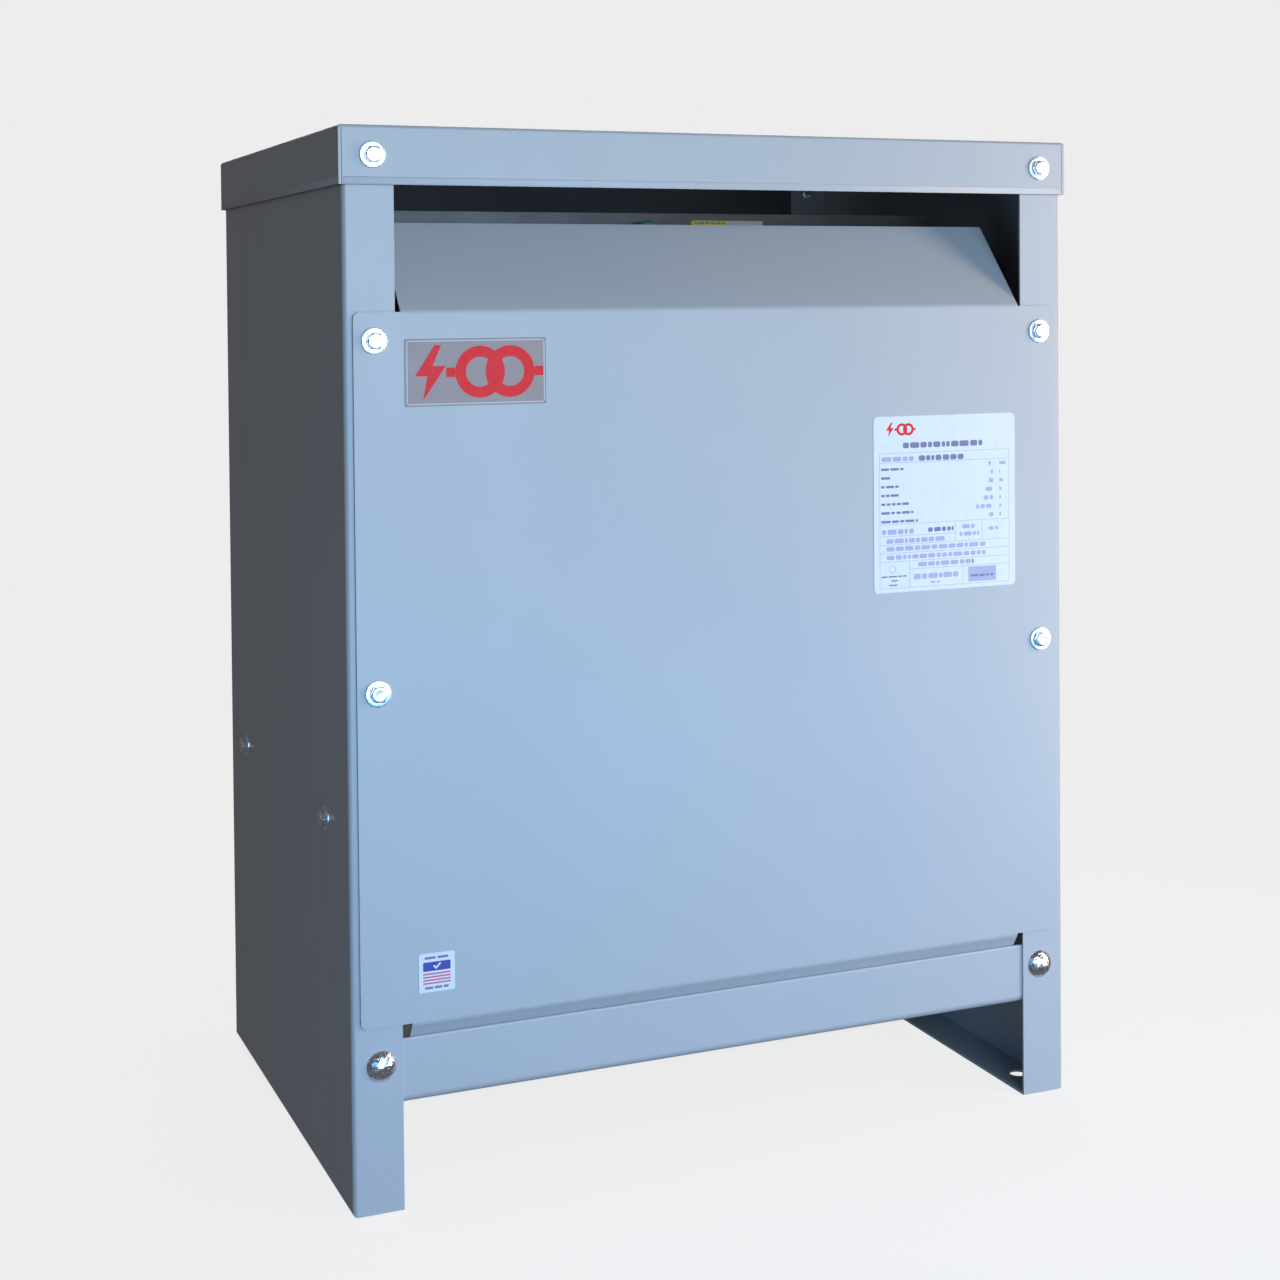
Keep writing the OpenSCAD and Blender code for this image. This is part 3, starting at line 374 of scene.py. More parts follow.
def hammered_zinc(name):
    """A polished dome whose plating still shows the small flats of the forging."""
    f = Finish(name, metallic=1.0)
    stain = f.span(f.noise(0.003, 4, 0.6), 0, 1)
    f.colour(f.blend(stain, (0.74, 0.74, 0.76), (0.95, 0.95, 0.96)))
    f.rough(f.span(stain, 0.14, 0.34))
    f.bump(f.cells(0.0023), 0.00035, 0.8)
    f.bump(f.noise(0.0009, 2, 0.5), 0.00004, 0.5)
    return f.material


def dip_paint(name):
    """Black paint on plate steel, worn to a brown-grey on its roughest spots."""
    f = Finish(name, metallic=0.0, ior=1.5)
    worn = f.span(f.noise(0.011, 6, 0.68), 0, 1, 0.56, 0.7)
    paint = f.blend(f.noise(0.04, 3), (0.020, 0.021, 0.024), (0.042, 0.044, 0.048))
    f.colour(f.blend(worn, paint, (0.085, 0.075, 0.066)))
    f.rough(f.span(f.noise(0.008, 4, 0.6), 0.34, 0.62))
    f.bump(f.noise(0.0025, 4, 0.6), 0.00012, 0.6)
    return f.material


def laminated_steel(name, axis):
    """The edges of thin steel sheets under a brown-black varnish, a line to each sheet."""
    f = Finish(name, metallic=0.35, ior=1.5)
    lines = f.stripes(0.0005, axis, 0.4)
    packs = f.stripes(0.0061, axis, 1.6)
    stain = f.noise(0.02, 5, 0.62)
    varnish = f.blend(stain, (0.030, 0.026, 0.025), (0.095, 0.080, 0.066))
    f.colour(f.blend(f.math("MULTIPLY", lines, packs), varnish, (0.16, 0.15, 0.145)))
    f.rough(f.span(stain, 0.35, 0.6))
    f.bump(lines, 0.00012, 0.8)
    f.bump(packs, 0.0002, 0.5)
    return f.material


def pressboard(name):
    """Varnished fibre board: amber, with long fibres and darker runs of varnish."""
    f = Finish(name, ior=1.5, coat_weight=0.35, coat_roughness=0.22)
    fibre = f.noise(0.0014, 5, 0.65, (1, 1, 0.15))
    runs = f.span(f.noise(0.03, 4, 0.6, (1, 1, 0.3)), 0, 1, 0.4, 0.68)
    board = f.blend(fibre, (0.50, 0.33, 0.13), (0.68, 0.50, 0.25))
    f.colour(f.blend(runs, board, (0.33, 0.17, 0.05)))
    f.rough(f.span(fibre, 0.32, 0.55))
    f.bump(fibre, 0.0001, 0.6)
    return f.material


def varnished_coil(name, light, dark, turn):
    """A winding under varnish: the turns show as ridges, and crossing tape as paler bands."""
    f = Finish(name, metallic=0.15, ior=1.5, coat_weight=0.6, coat_roughness=0.16)
    turns = f.stripes(turn, "Z", 0.25)
    stain = f.span(f.noise(0.022, 5, 0.62, (1, 1, 0.5)), 0, 1, 0.3, 0.72)
    wire = f.blend(turns, dark, light)
    f.colour(f.blend(f.math("MULTIPLY", stain, 0.55), wire, tuple(c * 0.45 for c in dark)))
    f.rough(f.span(stain, 0.24, 0.46))
    f.bump(turns, 0.0002, 0.5)
    f.bump(f.noise(0.003, 4, 0.6), 0.0001, 0.5)
    return f.material


def bare_copper(name):
    """Rolled copper bar: drawn along its length, with patches of brown oxide."""
    f = Finish(name, metallic=1.0)
    oxide = f.span(f.noise(0.018, 6, 0.66), 0, 1, 0.42, 0.68)
    drawn = f.noise(0.0009, 3, 0.6, (1, 1, 0.04))
    bright = f.blend(drawn, (0.86, 0.46, 0.28), (0.93, 0.56, 0.38))
    f.colour(f.blend(oxide, bright, (0.42, 0.19, 0.10)))
    f.rough(f.span(oxide, 0.24, 0.46, 0.0, 1.0))
    f.bump(drawn, 0.00003, 0.6)
    return f.material


def moulded_rubber(name):
    """Black rubber with a fine moulded grain and a grey bloom."""
    f = Finish(name, ior=1.48)
    bloom = f.span(f.noise(0.014, 5, 0.65), 0, 1, 0.4, 0.75)
    f.colour(f.blend(bloom, (0.018, 0.018, 0.020), (0.060, 0.060, 0.062)))
    f.rough(f.span(bloom, 0.62, 0.86))
    f.bump(f.cells(0.0011), 0.00008, 0.7)
    return f.material


def phenolic(name):
    """Brown-black laminate board: woven cloth under resin."""
    f = Finish(name, ior=1.55, coat_weight=0.3, coat_roughness=0.2)
    warp = f.stripes(0.0011, "X", 0.5)
    weft = f.stripes(0.0011, "Z", 0.5)
    weave = f.math("MULTIPLY", warp, weft)
    cloud = f.noise(0.05, 4, 0.6)
    resin = f.blend(cloud, (0.030, 0.015, 0.010), (0.062, 0.031, 0.020))
    f.colour(f.blend(f.math("MULTIPLY", weave, 0.5), resin, (0.110, 0.058, 0.036)))
    f.rough(f.span(cloud, 0.26, 0.44))
    f.bump(weave, 0.00005, 0.6)
    return f.material


def tin_plate(name):
    """Tin-plated extruded aluminium: matt, drawn upwards, with small dents."""
    f = Finish(name, metallic=1.0)
    drawn = f.noise(0.0008, 3, 0.6, (1, 1, 0.05))
    f.colour(f.blend(f.noise(0.009, 4), (0.66, 0.67, 0.69), (0.84, 0.85, 0.86)))
    f.rough(f.span(drawn, 0.3, 0.5))
    f.bump(drawn, 0.00003, 0.6)
    f.bump(f.noise(0.005, 3), 0.00008, 0.4)
    return f.material


def cable_jacket(name, light, dark, rib):
    """An insulated lead: smooth plastic over strands that show as faint ribs."""
    f = Finish(name, ior=1.5, coat_weight=0.2, coat_roughness=0.25)
    ribs = f.stripes(rib, "Z", 1.2)
    dust = f.noise(0.012, 5, 0.65)
    f.colour(f.blend(dust, dark, light))
    f.rough(f.span(dust, 0.36, 0.56))
    f.bump(ribs, 0.00006, 0.5)
    return f.material


def printed_film(name, light, dark, rough_low, rough_high):
    """Ink or foil on a thin film that has settled on the paint: faint wrinkles and a soft gloss."""
    f = Finish(name, ior=1.45, specular_ior_level=0.3, coat_weight=0.05, coat_roughness=0.3)
    f.colour(f.blend(f.noise(0.0016, 2, 0.5), dark, light))
    f.rough(f.span(f.noise(0.02, 4, 0.6), rough_low, rough_high))
    f.bump(f.noise(0.022, 2, 0.5), 0.00005, 0.4)
    f.bump(f.noise(0.0008, 2, 0.5), 0.00001, 0.4)
    return f.material


PAINT = powder_coat("case_powder_coat", (0.445, 0.452, 0.462), (0.425, 0.432, 0.443), 0.36, 0.46)
# Lighter coat for the case's rounded edges: partly thinner, worn paint, partly a painted highlight where the
# edges catch the light.
EDGE_WEAR_AND_HIGHLIGHT = powder_coat("case_edge_wear_and_highlight", (0.80, 0.81, 0.83), (0.66, 0.67, 0.69), 0.22, 0.34)
# Near-black coat for case faces that look inward: painted shade for the dim inside of the case.
INNER_PAINTED_SHADE = powder_coat("case_inner_painted_shade", (0.085, 0.087, 0.090), (0.060, 0.062, 0.065), 0.45, 0.6)
ZINC = zinc_plate("zinc_plate", (0.93, 0.94, 0.96), (0.80, 0.82, 0.85), 0.2, 0.38)
POLISHED = hammered_zinc("polished_zinc")
STEEL = dip_paint("dip_painted_steel")
LAMINATED = laminated_steel("laminated_steel", "Y")
PRESSBOARD = pressboard("pressboard")
LV_COIL = varnished_coil("low_voltage_coil", (0.52, 0.29, 0.13), (0.26, 0.12, 0.05), 0.0085)
HV_COIL = varnished_coil("high_voltage_coil", (0.46, 0.25, 0.10), (0.20, 0.09, 0.035), 0.0031)
COPPER = bare_copper("bare_copper")
RUBBER = moulded_rubber("moulded_rubber")
PHENOLIC = phenolic("phenolic_board")
TIN = tin_plate("tin_plate")
BLACK_JACKET = cable_jacket("black_lead", (0.034, 0.034, 0.037), (0.012, 0.012, 0.014), 0.0024)
GREEN_JACKET = cable_jacket("green_lead", (0.045, 0.36, 0.13), (0.02, 0.22, 0.075), 0.0021)
WHITE_FOIL = printed_film("white_foil", (0.76, 0.77, 0.79), (0.72, 0.735, 0.76), 0.22, 0.36)
GREY_FOIL = printed_film("grey_foil", (0.37, 0.29, 0.27), (0.33, 0.255, 0.24), 0.3, 0.42)
YELLOW_FOIL = printed_film("yellow_foil", (0.88, 0.68, 0.04), (0.76, 0.56, 0.03), 0.28, 0.42)
PALE_FOIL = printed_film("pale_foil", (0.62, 0.64, 0.67), (0.52, 0.54, 0.58), 0.28, 0.42)
RED_INK = printed_film("red_ink", (0.86, 0.012, 0.014), (0.74, 0.008, 0.010), 0.4, 0.5)
PINK_INK = printed_film("pink_ink", (0.72, 0.17, 0.24), (0.60, 0.12, 0.18), 0.28, 0.4)
GREY_INK = printed_film("grey_ink", (0.23, 0.23, 0.36), (0.17, 0.17, 0.29), 0.3, 0.42)
PALE_INK = printed_film("pale_ink", (0.46, 0.45, 0.63), (0.38, 0.38, 0.55), 0.3, 0.42)
BLUE_INK = printed_film("blue_ink", (0.085, 0.095, 0.40), (0.055, 0.065, 0.31), 0.28, 0.4)
FINISHES = {
    "case_paint": PAINT, "zinc": ZINC, "bare_steel": STEEL, "core_steel": LAMINATED, "insulation": PRESSBOARD,
    "copper": COPPER, "rubber": RUBBER, "board": PHENOLIC, "lug_metal": TIN, "lead_sleeve": BLACK_JACKET,
    "green_sleeve": GREEN_JACKET, "plate_print": WHITE_FOIL, "badge_print": GREY_FOIL,
    "label_print": WHITE_FOIL, "yellow_print": YELLOW_FOIL,
}


# ---------------------------------------------------------------- making pieces

def body_of(node):
    return NODES[node]["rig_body"]


def finish_piece(name, mesh, slot, body, replaced=(), paint=None, sharp=38, weighted=True, more_paint=()):
    """Puts a mesh in the scene with its finish, on its body, in place of CAD nodes. sharp is in degrees."""
    mesh.validate()
    for face in mesh.polygons:
        face.use_smooth = True
    mesh.set_sharp_from_angle(angle=math.radians(sharp))
    mesh.materials.append(paint or FINISHES[slot])
    for extra in more_paint:
        mesh.materials.append(extra)
    piece = bpy.data.objects.new(name, mesh)
    bpy.context.scene.collection.objects.link(piece)
    if weighted:
        even = piece.modifiers.new("flat_faces_stay_flat", "WEIGHTED_NORMAL")
        even.keep_sharp = True
        even.weight = 80
    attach(piece, body)
    if replaced:
        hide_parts(*replaced)


def cad_shape(node):
    """The CAD node's own shape as an editable mesh: welded, with each flat face in one piece."""
    shape = bmesh.new()
    shape.from_mesh(NODES[node].data)
    bmesh.ops.remove_doubles(shape, verts=shape.verts, dist=2e-6)
    bmesh.ops.dissolve_limit(shape, angle_limit=math.radians(0.4), verts=shape.verts, edges=shape.edges)
    return shape


def refined(node, slot, edge=SHEET_EDGE, segments=2, edge_wear_and_highlight=None, inner_painted_shade=None):
    """A CAD node with its sharp edges rounded, as paint, rolling or moulding leaves them.

    The rounded edges can take a lighter coat, partly worn paint and partly a painted highlight, and the faces
    that look into the case a near-black coat of painted shade."""
    shape = cad_shape(node)
    edges = [e for e in shape.edges if len(e.link_faces) == 2 and e.calc_face_angle(0) > math.radians(30)]
    # Rounded edges take material slot 1, the lighter edge coat: partly wear, partly painted highlight.
    bmesh.ops.bevel(shape, geom=edges, offset=edge * MM, offset_type="OFFSET", segments=segments,
                    profile=0.5, affect="EDGES", clamp_overlap=True, material=1 if edge_wear_and_highlight else -1)
    mesh = bpy.data.meshes.new(node + "_skin")
    shape.to_mesh(mesh)
    shape.free()
    # Faces that look into the case take material slot 2, the near-black painted shade.
    if inner_painted_shade:
        for face in mesh.polygons:
            inwards = MIDDLE - face.center
            inwards.x = 0
            if face.normal.dot(inwards.normalized()) > 0.25 and abs(face.normal.x) < 0.5:
                face.material_index = 2
    finish_piece(node + "_skin", mesh, slot, body_of(node), (node,),
                 more_paint=[paint for paint in (edge_wear_and_highlight, inner_painted_shade) if paint])


def solid_boxes(node):
    """The lowest and highest corner of each separate solid of a CAD node."""
    shape = cad_shape(node)
    shape.verts.ensure_lookup_table()
    seen, boxes = set(), []
    for start in shape.verts:
        if start.index in seen:
            continue
        group, waiting = [], [start]
        seen.add(start.index)
        while waiting:
            vert = waiting.pop()
            group.append(vert.co.copy())
            for e in vert.link_edges:
                other = e.other_vert(vert)
                if other.index not in seen:
                    seen.add(other.index)
                    waiting.append(other)
        boxes.append((Vector(map(min, *group)), Vector(map(max, *group))))
    shape.free()
    return boxes


class Rings:
    """A surface drawn as rings of points, each joined to the next, gathered from many copies."""

    def __init__(self):
        self.points, self.faces = [], []

    def draw(self, rings, place=Matrix.Identity(4), first_cap=True, last_cap=True, closed=False):
        start, count = len(self.points), len(rings[0])
        for ring in rings:
            self.points.extend(place @ (Vector(p) * MM) for p in ring)
        total = len(rings)
        for r in range(total if closed else total - 1):
            a, b = start + r * count, start + (r + 1) % total * count
            for k in range(count):
                n = (k + 1) % count
                self.faces.append((a + k, b + k, b + n, a + n))
        if first_cap and not closed:
            self.faces.append(tuple(range(start, start + count)))
        if last_cap and not closed:
            self.faces.append(tuple(reversed(range(start + (total - 1) * count, start + total * count))))

    def mesh(self, name):
        mesh = bpy.data.meshes.new(name)
        mesh.from_pydata([tuple(p) for p in self.points], [], self.faces)
        shape = bmesh.new()
        shape.from_mesh(mesh)
        bmesh.ops.recalc_face_normals(shape, faces=shape.faces)
        shape.to_mesh(mesh)
        shape.free()
        return mesh


# ---------------------------------------------------------------- fasteners

COLUMNS = 48

# Heights of heads, sizes across flats, and the depth of a washer's seat below its outer face, in millimetres
SMALL_HEAD, DOME_HEAD, STUD_HEAD, CLAMP_HEAD = 4.2, 5.5, 5.3, 6
SMALL_HEX, STUD_HEX, CLAMP_HEX = 11.1, 12.7, 14.3
WASHER_DEPTH = 1.5
SHORTEST_STUD = 10


def around(radius_at, z_at):
    """One ring: a radius and a height for each direction."""
    ring = []
    for k in range(COLUMNS):
        a = 2 * math.pi * k / COLUMNS
        r = radius_at(a) if callable(radius_at) else radius_at
        z = z_at(a) if callable(z_at) else z_at
        ring.append((r * math.cos(a), r * math.sin(a), z))
    return ring


def hexagon(af):
    """The distance from the middle of a hexagon to its side, its corners slightly rounded."""
    def distance(a):
        r = af / 2 / math.cos(a % (math.pi / 3) - math.pi / 6)
        return min(r, af / 2 * 1.143)
    return distance


def chamfered(af, height):
    """The height at which a hexagon's side meets the cone that is turned off its corners."""
    side = hexagon(af)
    return lambda a: height - (side(a) - af / 2 * 0.94) * math.tan(math.radians(30))


def threaded(radius, top, bottom, pitch):
    """Rings down a shank, its thread cut as one helix. The crests keep the shank's radius."""
    depth = pitch * 0.5
    rows = max(6, round((top - bottom) / pitch * 6))
    rings = []
    for i in range(rows + 1):
        z = top + (bottom - top) * i / rows
        run_in = min(1, (top - z) / pitch)
        tip = max(0, 1 - (z - bottom) / (0.2 * radius)) * 0.2 * radius

        def at(a, z=z, run_in=run_in, tip=tip):
            phase = (z / pitch - a / (2 * math.pi)) % 1
            groove = min(1, max(0, abs(2 * phase - 1) * 1.25 - 0.1))
            return radius - max(depth * groove * run_in, tip)
        rings.append(around(at, z))
    return rings


def bolt_rings(radius, af, head, length, pitch):
    """A hex bolt: its head stands on z = 0 and its shank goes down."""
    side, cone = hexagon(af), chamfered(af, head)
    flat = af / 2 * 0.9
    rings = [
        around(flat * 0.55, head - 0.12),
        around(flat * 0.62, head - 0.02),
        around(flat, head),
        around(lambda a: min(side(a), af / 2 * 0.985), lambda a: head - 0.25),
        around(lambda a: side(a) - 0.05, lambda a: cone(a) - 0.12),
        around(side, lambda a: cone(a) - 0.4),
        around(side, 0.3),
        around(lambda a: side(a) - 0.25, 0.0),
        around(radius + 0.35, 0.0),
        around(radius, -0.35),
    ]
    return rings + threaded(radius, -0.5, -length, pitch)


def nut_rings(af, height, bore):
    """A hex nut with both ends chamfered, standing on z = 0."""
    side, cone = hexagon(af), chamfered(af, height)
    rise = height * 0.12
    return [
        around(bore, rise),
        around(bore, height - rise),
        around(bore + 0.5, height),
        around(af / 2 * 0.9, height),
        around(lambda a: side(a) - 0.05, lambda a: cone(a) - 0.12),
        around(side, lambda a: cone(a) - 0.4),
        around(side, lambda a: height - cone(a) + 0.4),
        around(lambda a: side(a) - 0.05, lambda a: height - cone(a) + 0.12),
        around(af / 2 * 0.9, 0),
        around(bore + 0.5, 0),
    ]


def washer_rings(bore, radius, thick):
    """A stamped washer: its upper edge is rolled over and its lower edge is sharper."""
    return [
        around(bore, 0.15), around(bore, thick - 0.25), around(bore + 0.1, thick - 0.08),
        around(bore + 0.3, thick), around(radius - 0.55, thick), around(radius - 0.2, thick - 0.12),
        around(radius - 0.04, thick - 0.36), around(radius, thick - 0.6), around(radius, 0.15),
        around(radius - 0.15, 0), around(bore + 0.15, 0),
    ]


def dome_rings(radius, rise, shank, length):
    """A round-headed bolt: a polished dome with a thin square rim, standing on z = 0."""
    ball = (radius * radius + rise * rise) / (2 * rise)
    steps = 22
    rings = [around(0.15, rise)]
    for i in range(1, steps + 1):
        r = radius * i / steps
        z = math.sqrt(ball * ball - r * r) - ball + rise
        rings.append(around(min(r, radius - 0.05), max(z, 0.22)))
    rings += [around(radius - 0.02, 0.1), around(radius - 0.2, 0)]
    rings += [around(shank + 0.3, 0), around(shank, -0.3)]
    return rings + threaded(shank, -0.5, -length, COARSE_PITCH)


def turned_towards(direction, place):
    """Stands +Z along a direction, with the hexagon's corners level, at a place."""
    z = Vector(direction)
    x = Vector((0, 1, 0)) if abs(z.x) > 0.5 else Vector((1, 0, 0))
    turned = Matrix((x, z.cross(x), z)).transposed().to_4x4()
    return Matrix.Translation(place) @ turned


def outward(box, axis):
    """The direction from the middle of the case to a solid, along one axis."""
    direction = Vector((0, 0, 0))
    direction[axis] = 1 if (box[0][axis] + box[1][axis]) / 2 > 0 else -1
    return direction


def seat_of(box, direction, depth):
    """The point on a solid's middle line that lies a depth below its outer end."""
    place = (box[0] + box[1]) / 2
    axis = max(range(3), key=lambda k: abs(direction[k]))
    end = box[1][axis] if direction[axis] > 0 else box[0][axis]
    place[axis] = end - direction[axis] * depth * MM
    return place


def length_of(box, direction):
    axis = max(range(3), key=lambda k: abs(direction[k]))
    return (box[1][axis] - box[0][axis]) / MM


def add_fasteners(node, rings_of, direction_of, depth, paint=None, holed=False):
    """Replaces each solid of a CAD node by a detailed copy. rings_of gets the solid's length. In a shape with
    a hole through it, the last ring joins the first."""
    rings = Rings()
    for box in solid_boxes(node):
        direction = direction_of(box)
        length = length_of(box, direction)
        below = depth(length) if callable(depth) else depth
        rings.draw(rings_of(length), turned_towards(direction, seat_of(box, direction, below)), closed=holed)
    finish_piece(node + "_detail", rings.mesh(node + "_detail"), "zinc", body_of(node), (node,), paint,
                 sharp=42, weighted=False)


def add_all_fasteners():
    def front(box):
        return Vector((0, -1, 0))

    def up(box):
        return Vector((0, 0, 1))

    def y_out(box):
        return outward(box, 1)

    def x_out(box):
        return outward(box, 0)

    def small_bolt(length):
        return bolt_rings(3.1, SMALL_HEX, SMALL_HEAD, length - SMALL_HEAD, THREAD_PITCH)

    def small_washer(length):
        return washer_rings(3.9, 9.3, length)

    def carriage_bolt(length):
        return dome_rings(11, DOME_HEAD, 4.7, length - DOME_HEAD)

    def stud(length):
        return bolt_rings(4, STUD_HEX, STUD_HEAD, length - STUD_HEAD, COARSE_PITCH)

    def clamp_bolt(length):
        return bolt_rings(4.8, CLAMP_HEX, CLAMP_HEAD, length - CLAMP_HEAD, COARSE_PITCH)

    def nut(across_flats, bore):
        return lambda length: nut_rings(across_flats, length, bore)

    def stud_or_screw(length):
        return stud(length) if length > SHORTEST_STUD else screw_rings(2.95, length)

    def stud_or_screw_depth(length):
        return STUD_HEAD if length > SHORTEST_STUD else 0

    for i in (1, 2, 3, 4):
        add_fasteners(f"panel_bolt_{i}", small_bolt, front, SMALL_HEAD)
        add_fasteners(f"panel_washer_{i}", small_washer, front, WASHER_DEPTH, holed=True)
    for family, direction in (("rear", y_out), ("lid", y_out), ("side", x_out)):
        add_fasteners(f"{family}_bolts", small_bolt, direction, SMALL_HEAD)
        add_fasteners(f"{family}_washers", small_washer, direction, WASHER_DEPTH, holed=True)
    add_fasteners("cover_nuts", nut(SMALL_HEX, 3.5), y_out, 5.5, holed=True)
    add_fasteners("lid_nuts", nut(SMALL_HEX, 3.2), y_out, 5.5, holed=True)
    add_fasteners("side_nuts", nut(SMALL_HEX, 3.2), x_out, 5.5, holed=True)
    add_fasteners("foot_bolts", carriage_bolt, y_out, DOME_HEAD, POLISHED)
    add_fasteners("foot_nuts", nut(CLAMP_HEX, 4.75), y_out, 8, holed=True)
    add_fasteners("base_bolts", stud, up, STUD_HEAD)
    add_fasteners("base_nuts", nut(STUD_HEX, 4.05), up, 6.5, holed=True)
    add_fasteners("clamp_bolts", clamp_bolt, front, CLAMP_HEAD)
    add_fasteners("clamp_nuts", nut(CLAMP_HEX, 4.85), y_out, 8, holed=True)
    add_fasteners("terminal_nuts", nut(STUD_HEX, 4.05), front, 6.5, holed=True)
    add_fasteners("terminal_bolts", stud_or_screw, front, stud_or_screw_depth)


def screw_rings(radius, length):
    """A set screw with a hexagon socket, its end at z = 0."""
    socket = hexagon(3.2)
    return [
        around(lambda a: socket(a) * 0.98, -1.8), around(socket, -0.15), around(lambda a: socket(a) + 0.2, 0),
        around(radius - 0.35, 0), around(radius, -0.35),
    ] + threaded(radius, -0.5, -length, 1.0)


# ---------------------------------------------------------------- lid hem

def add_lid_hem():
    """The lower edge of the lid's skirt is folded, which stands out from the skirt by a hair."""
    low, high = (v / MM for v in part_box("lid"))
    proud, tall, corner = 0.4, 5.2, 3.2
    z = low.z + 0.15
    section = [(0.02, z), (proud - 0.1, z), (proud, z + 0.25), (proud, z + tall - 0.5),
               (proud - 0.12, z + tall - 0.15), (0.02, z + tall)]
    shape = Rings()
    for sx, sy in ((0, -1), (0, 1), (-1, 0), (1, 0)):
        reach = (high.x if sy else high.y) - corner
        rings = []
        for along, share in ((-reach, 0.3), (-reach + 0.6, 1), (reach - 0.6, 1), (reach, 0.3)):
            ring = []
            for out, up in section:
                out = out * share
                ring.append((along, sy * (high.y + out), up) if sy else (sx * (high.x + out), along, up))
            rings.append(ring)
        shape.draw(rings)
    finish_piece("lid_hem", shape.mesh("lid_hem"), "case_paint", body_of("lid"), sharp=50, weighted=False)


# ---------------------------------------------------------------- core and coils

def rectangle_path(low, high, radius, steps=7):
    """Points round a rectangle with round corners, seen from above, in millimetres."""
    points = []
    for sx, sy, first in ((1, 1, 0), (-1, 1, 90), (-1, -1, 180), (1, -1, 270)):
        cx = high[0] - radius if sx > 0 else low[0] + radius
        cy = high[1] - radius if sy > 0 else low[1] + radius
        for k in range(steps + 1):
            a = math.radians(first + 90 * k / steps)
            points.append((cx + radius * math.cos(a), cy + radius * math.sin(a)))
    return points


def add_winding(node, build, turns, groove, corner, paint):
    """A rectangular coil: every turn is a ridge outside, with a flat band of tape at each end."""
    low, high = (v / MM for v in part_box(node))
    bottom, top = low.z, high.z
    band = 11

    def ring(inset, z):
        r = max(0.6, corner - inset)
        return [(x, y, z) for x, y in rectangle_path((low.x + inset, low.y + inset),
                                                     (high.x - inset, high.y - inset), r)]
    rings = [ring(build, bottom + 1), ring(build, top - 1), ring(build - 1, top), ring(1.4, top),
             ring(0.35, top - 0.5), ring(0.05, top - 1.6), ring(0.05, top - band),
             ring(groove, top - band - 0.6)]
    pitch = (top - bottom - 2 * band - 1.2) / turns
    for t in range(turns):
        z = top - band - 0.6 - t * pitch
        rings += [ring(0.12, z - 0.28 * pitch), ring(0.12, z - 0.72 * pitch), ring(groove, z - pitch)]
    rings += [ring(0.05, bottom + band), ring(0.05, bottom + 1.6), ring(0.35, bottom + 0.5),
              ring(1.4, bottom), ring(build - 1, bottom)]
    shape = Rings()
    shape.draw(rings, closed=True)
    finish_piece(node + "_turns", shape.mesh(node + "_turns"), "winding", body_of(node), (node,), paint,
                 sharp=50, weighted=False)


def add_laminated(node, seed, outline):
    """A stack of steel sheets along the depth, in packs that stand a little in or out of line."""
    draw = random.Random(seed)
    low, high = (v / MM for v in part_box(node))
    packs = 34
    depth = (high.y - low.y) / packs
    shape = Rings()
    for i in range(packs):
        inset = draw.choice((0.0, 0.12, 0.2, 0.3))
        ys = (low.y + i * depth, low.y + (i + 1) * depth - 0.06)
        points = outline(inset)
        shape.draw([[(x, y, z) for x, z in points] for y in ys])
    finish_piece(node + "_sheets", shape.mesh(node + "_sheets"), "core_steel", body_of(node), (node,),
                 sharp=30, weighted=False)


def add_core():
    """The legs with the lower yoke, and the top yoke. Every leg is as wide as the yokes are high."""
    legs_low, legs_high = (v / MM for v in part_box("core_legs"))
    yoke_low, yoke_high = (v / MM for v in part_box("core_top_yoke"))
    yoke = yoke_high.z - yoke_low.z
    middles = sorted((low.x + high.x) / 2 / MM for low, high in solid_boxes("coil_formers"))
    half = yoke / 2
    window = legs_low.z + yoke

    def legs(inset):
        points = [(legs_low.x + inset, legs_low.z + inset), (legs_high.x - inset, legs_low.z + inset)]
        for k in (2, 1, 0):
            left, right = middles[k] - half + inset, middles[k] + half - inset
            points += [(right, legs_high.z), (left, legs_high.z)]
            if k:
                points += [(left, window - inset), (middles[k - 1] + half - inset, window - inset)]
        return points

    def top_yoke(inset):
        return [(yoke_low.x + inset, yoke_low.z), (yoke_high.x - inset, yoke_low.z),
                (yoke_high.x - inset, yoke_high.z - inset), (yoke_low.x + inset, yoke_high.z - inset)]

    add_laminated("core_legs", 3, legs)
    add_laminated("core_top_yoke", 5, top_yoke)


# ---------------------------------------------------------------- labels

class Print:
    """Ink and film on a label's face, as thin raised shapes.

    u runs right and v runs down from the label's top left corner."""

    def __init__(self, node):
        self.node = node
        self.low, self.high = (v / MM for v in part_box(node))

    def shape(self, outlines, rise=0.05):
        """Flat shapes with a thin edge; each outline is a list of (u, v)."""
        rings = Rings()
        for outline in outlines:
            points = [(self.low.x + u, self.high.z - v) for u, v in outline]
            face = self.low.y
            rings.draw([[(x, face + 0.02, z) for x, z in points], [(x, face - rise, z) for x, z in points]])
        return rings

    def add(self, name, outlines, slot, paint, rise=0.05):
        if outlines:
            finish_piece(name, self.shape(outlines, rise).mesh(name), slot, body_of(self.node), (), paint,
                         sharp=30, weighted=False)


def bar(u, v, w, h):
    return [(u, v), (u + w, v), (u + w, v + h), (u, v + h)]


def soft_bar(u, v, w, h, r):
    """A rectangle with round corners."""
    points = []
    near_u, far_u, near_v, far_v = u + r, u + w - r, v + r, v + h - r
    middles = ((far_u, near_v, -90), (far_u, far_v, 0), (near_u, far_v, 90), (near_u, near_v, 180))
    for cu, cv, first in middles:
        for k in range(4):
            a = math.radians(first + 30 * k)
            points.append((cu + r * math.cos(a), cv + r * math.sin(a)))
    return points


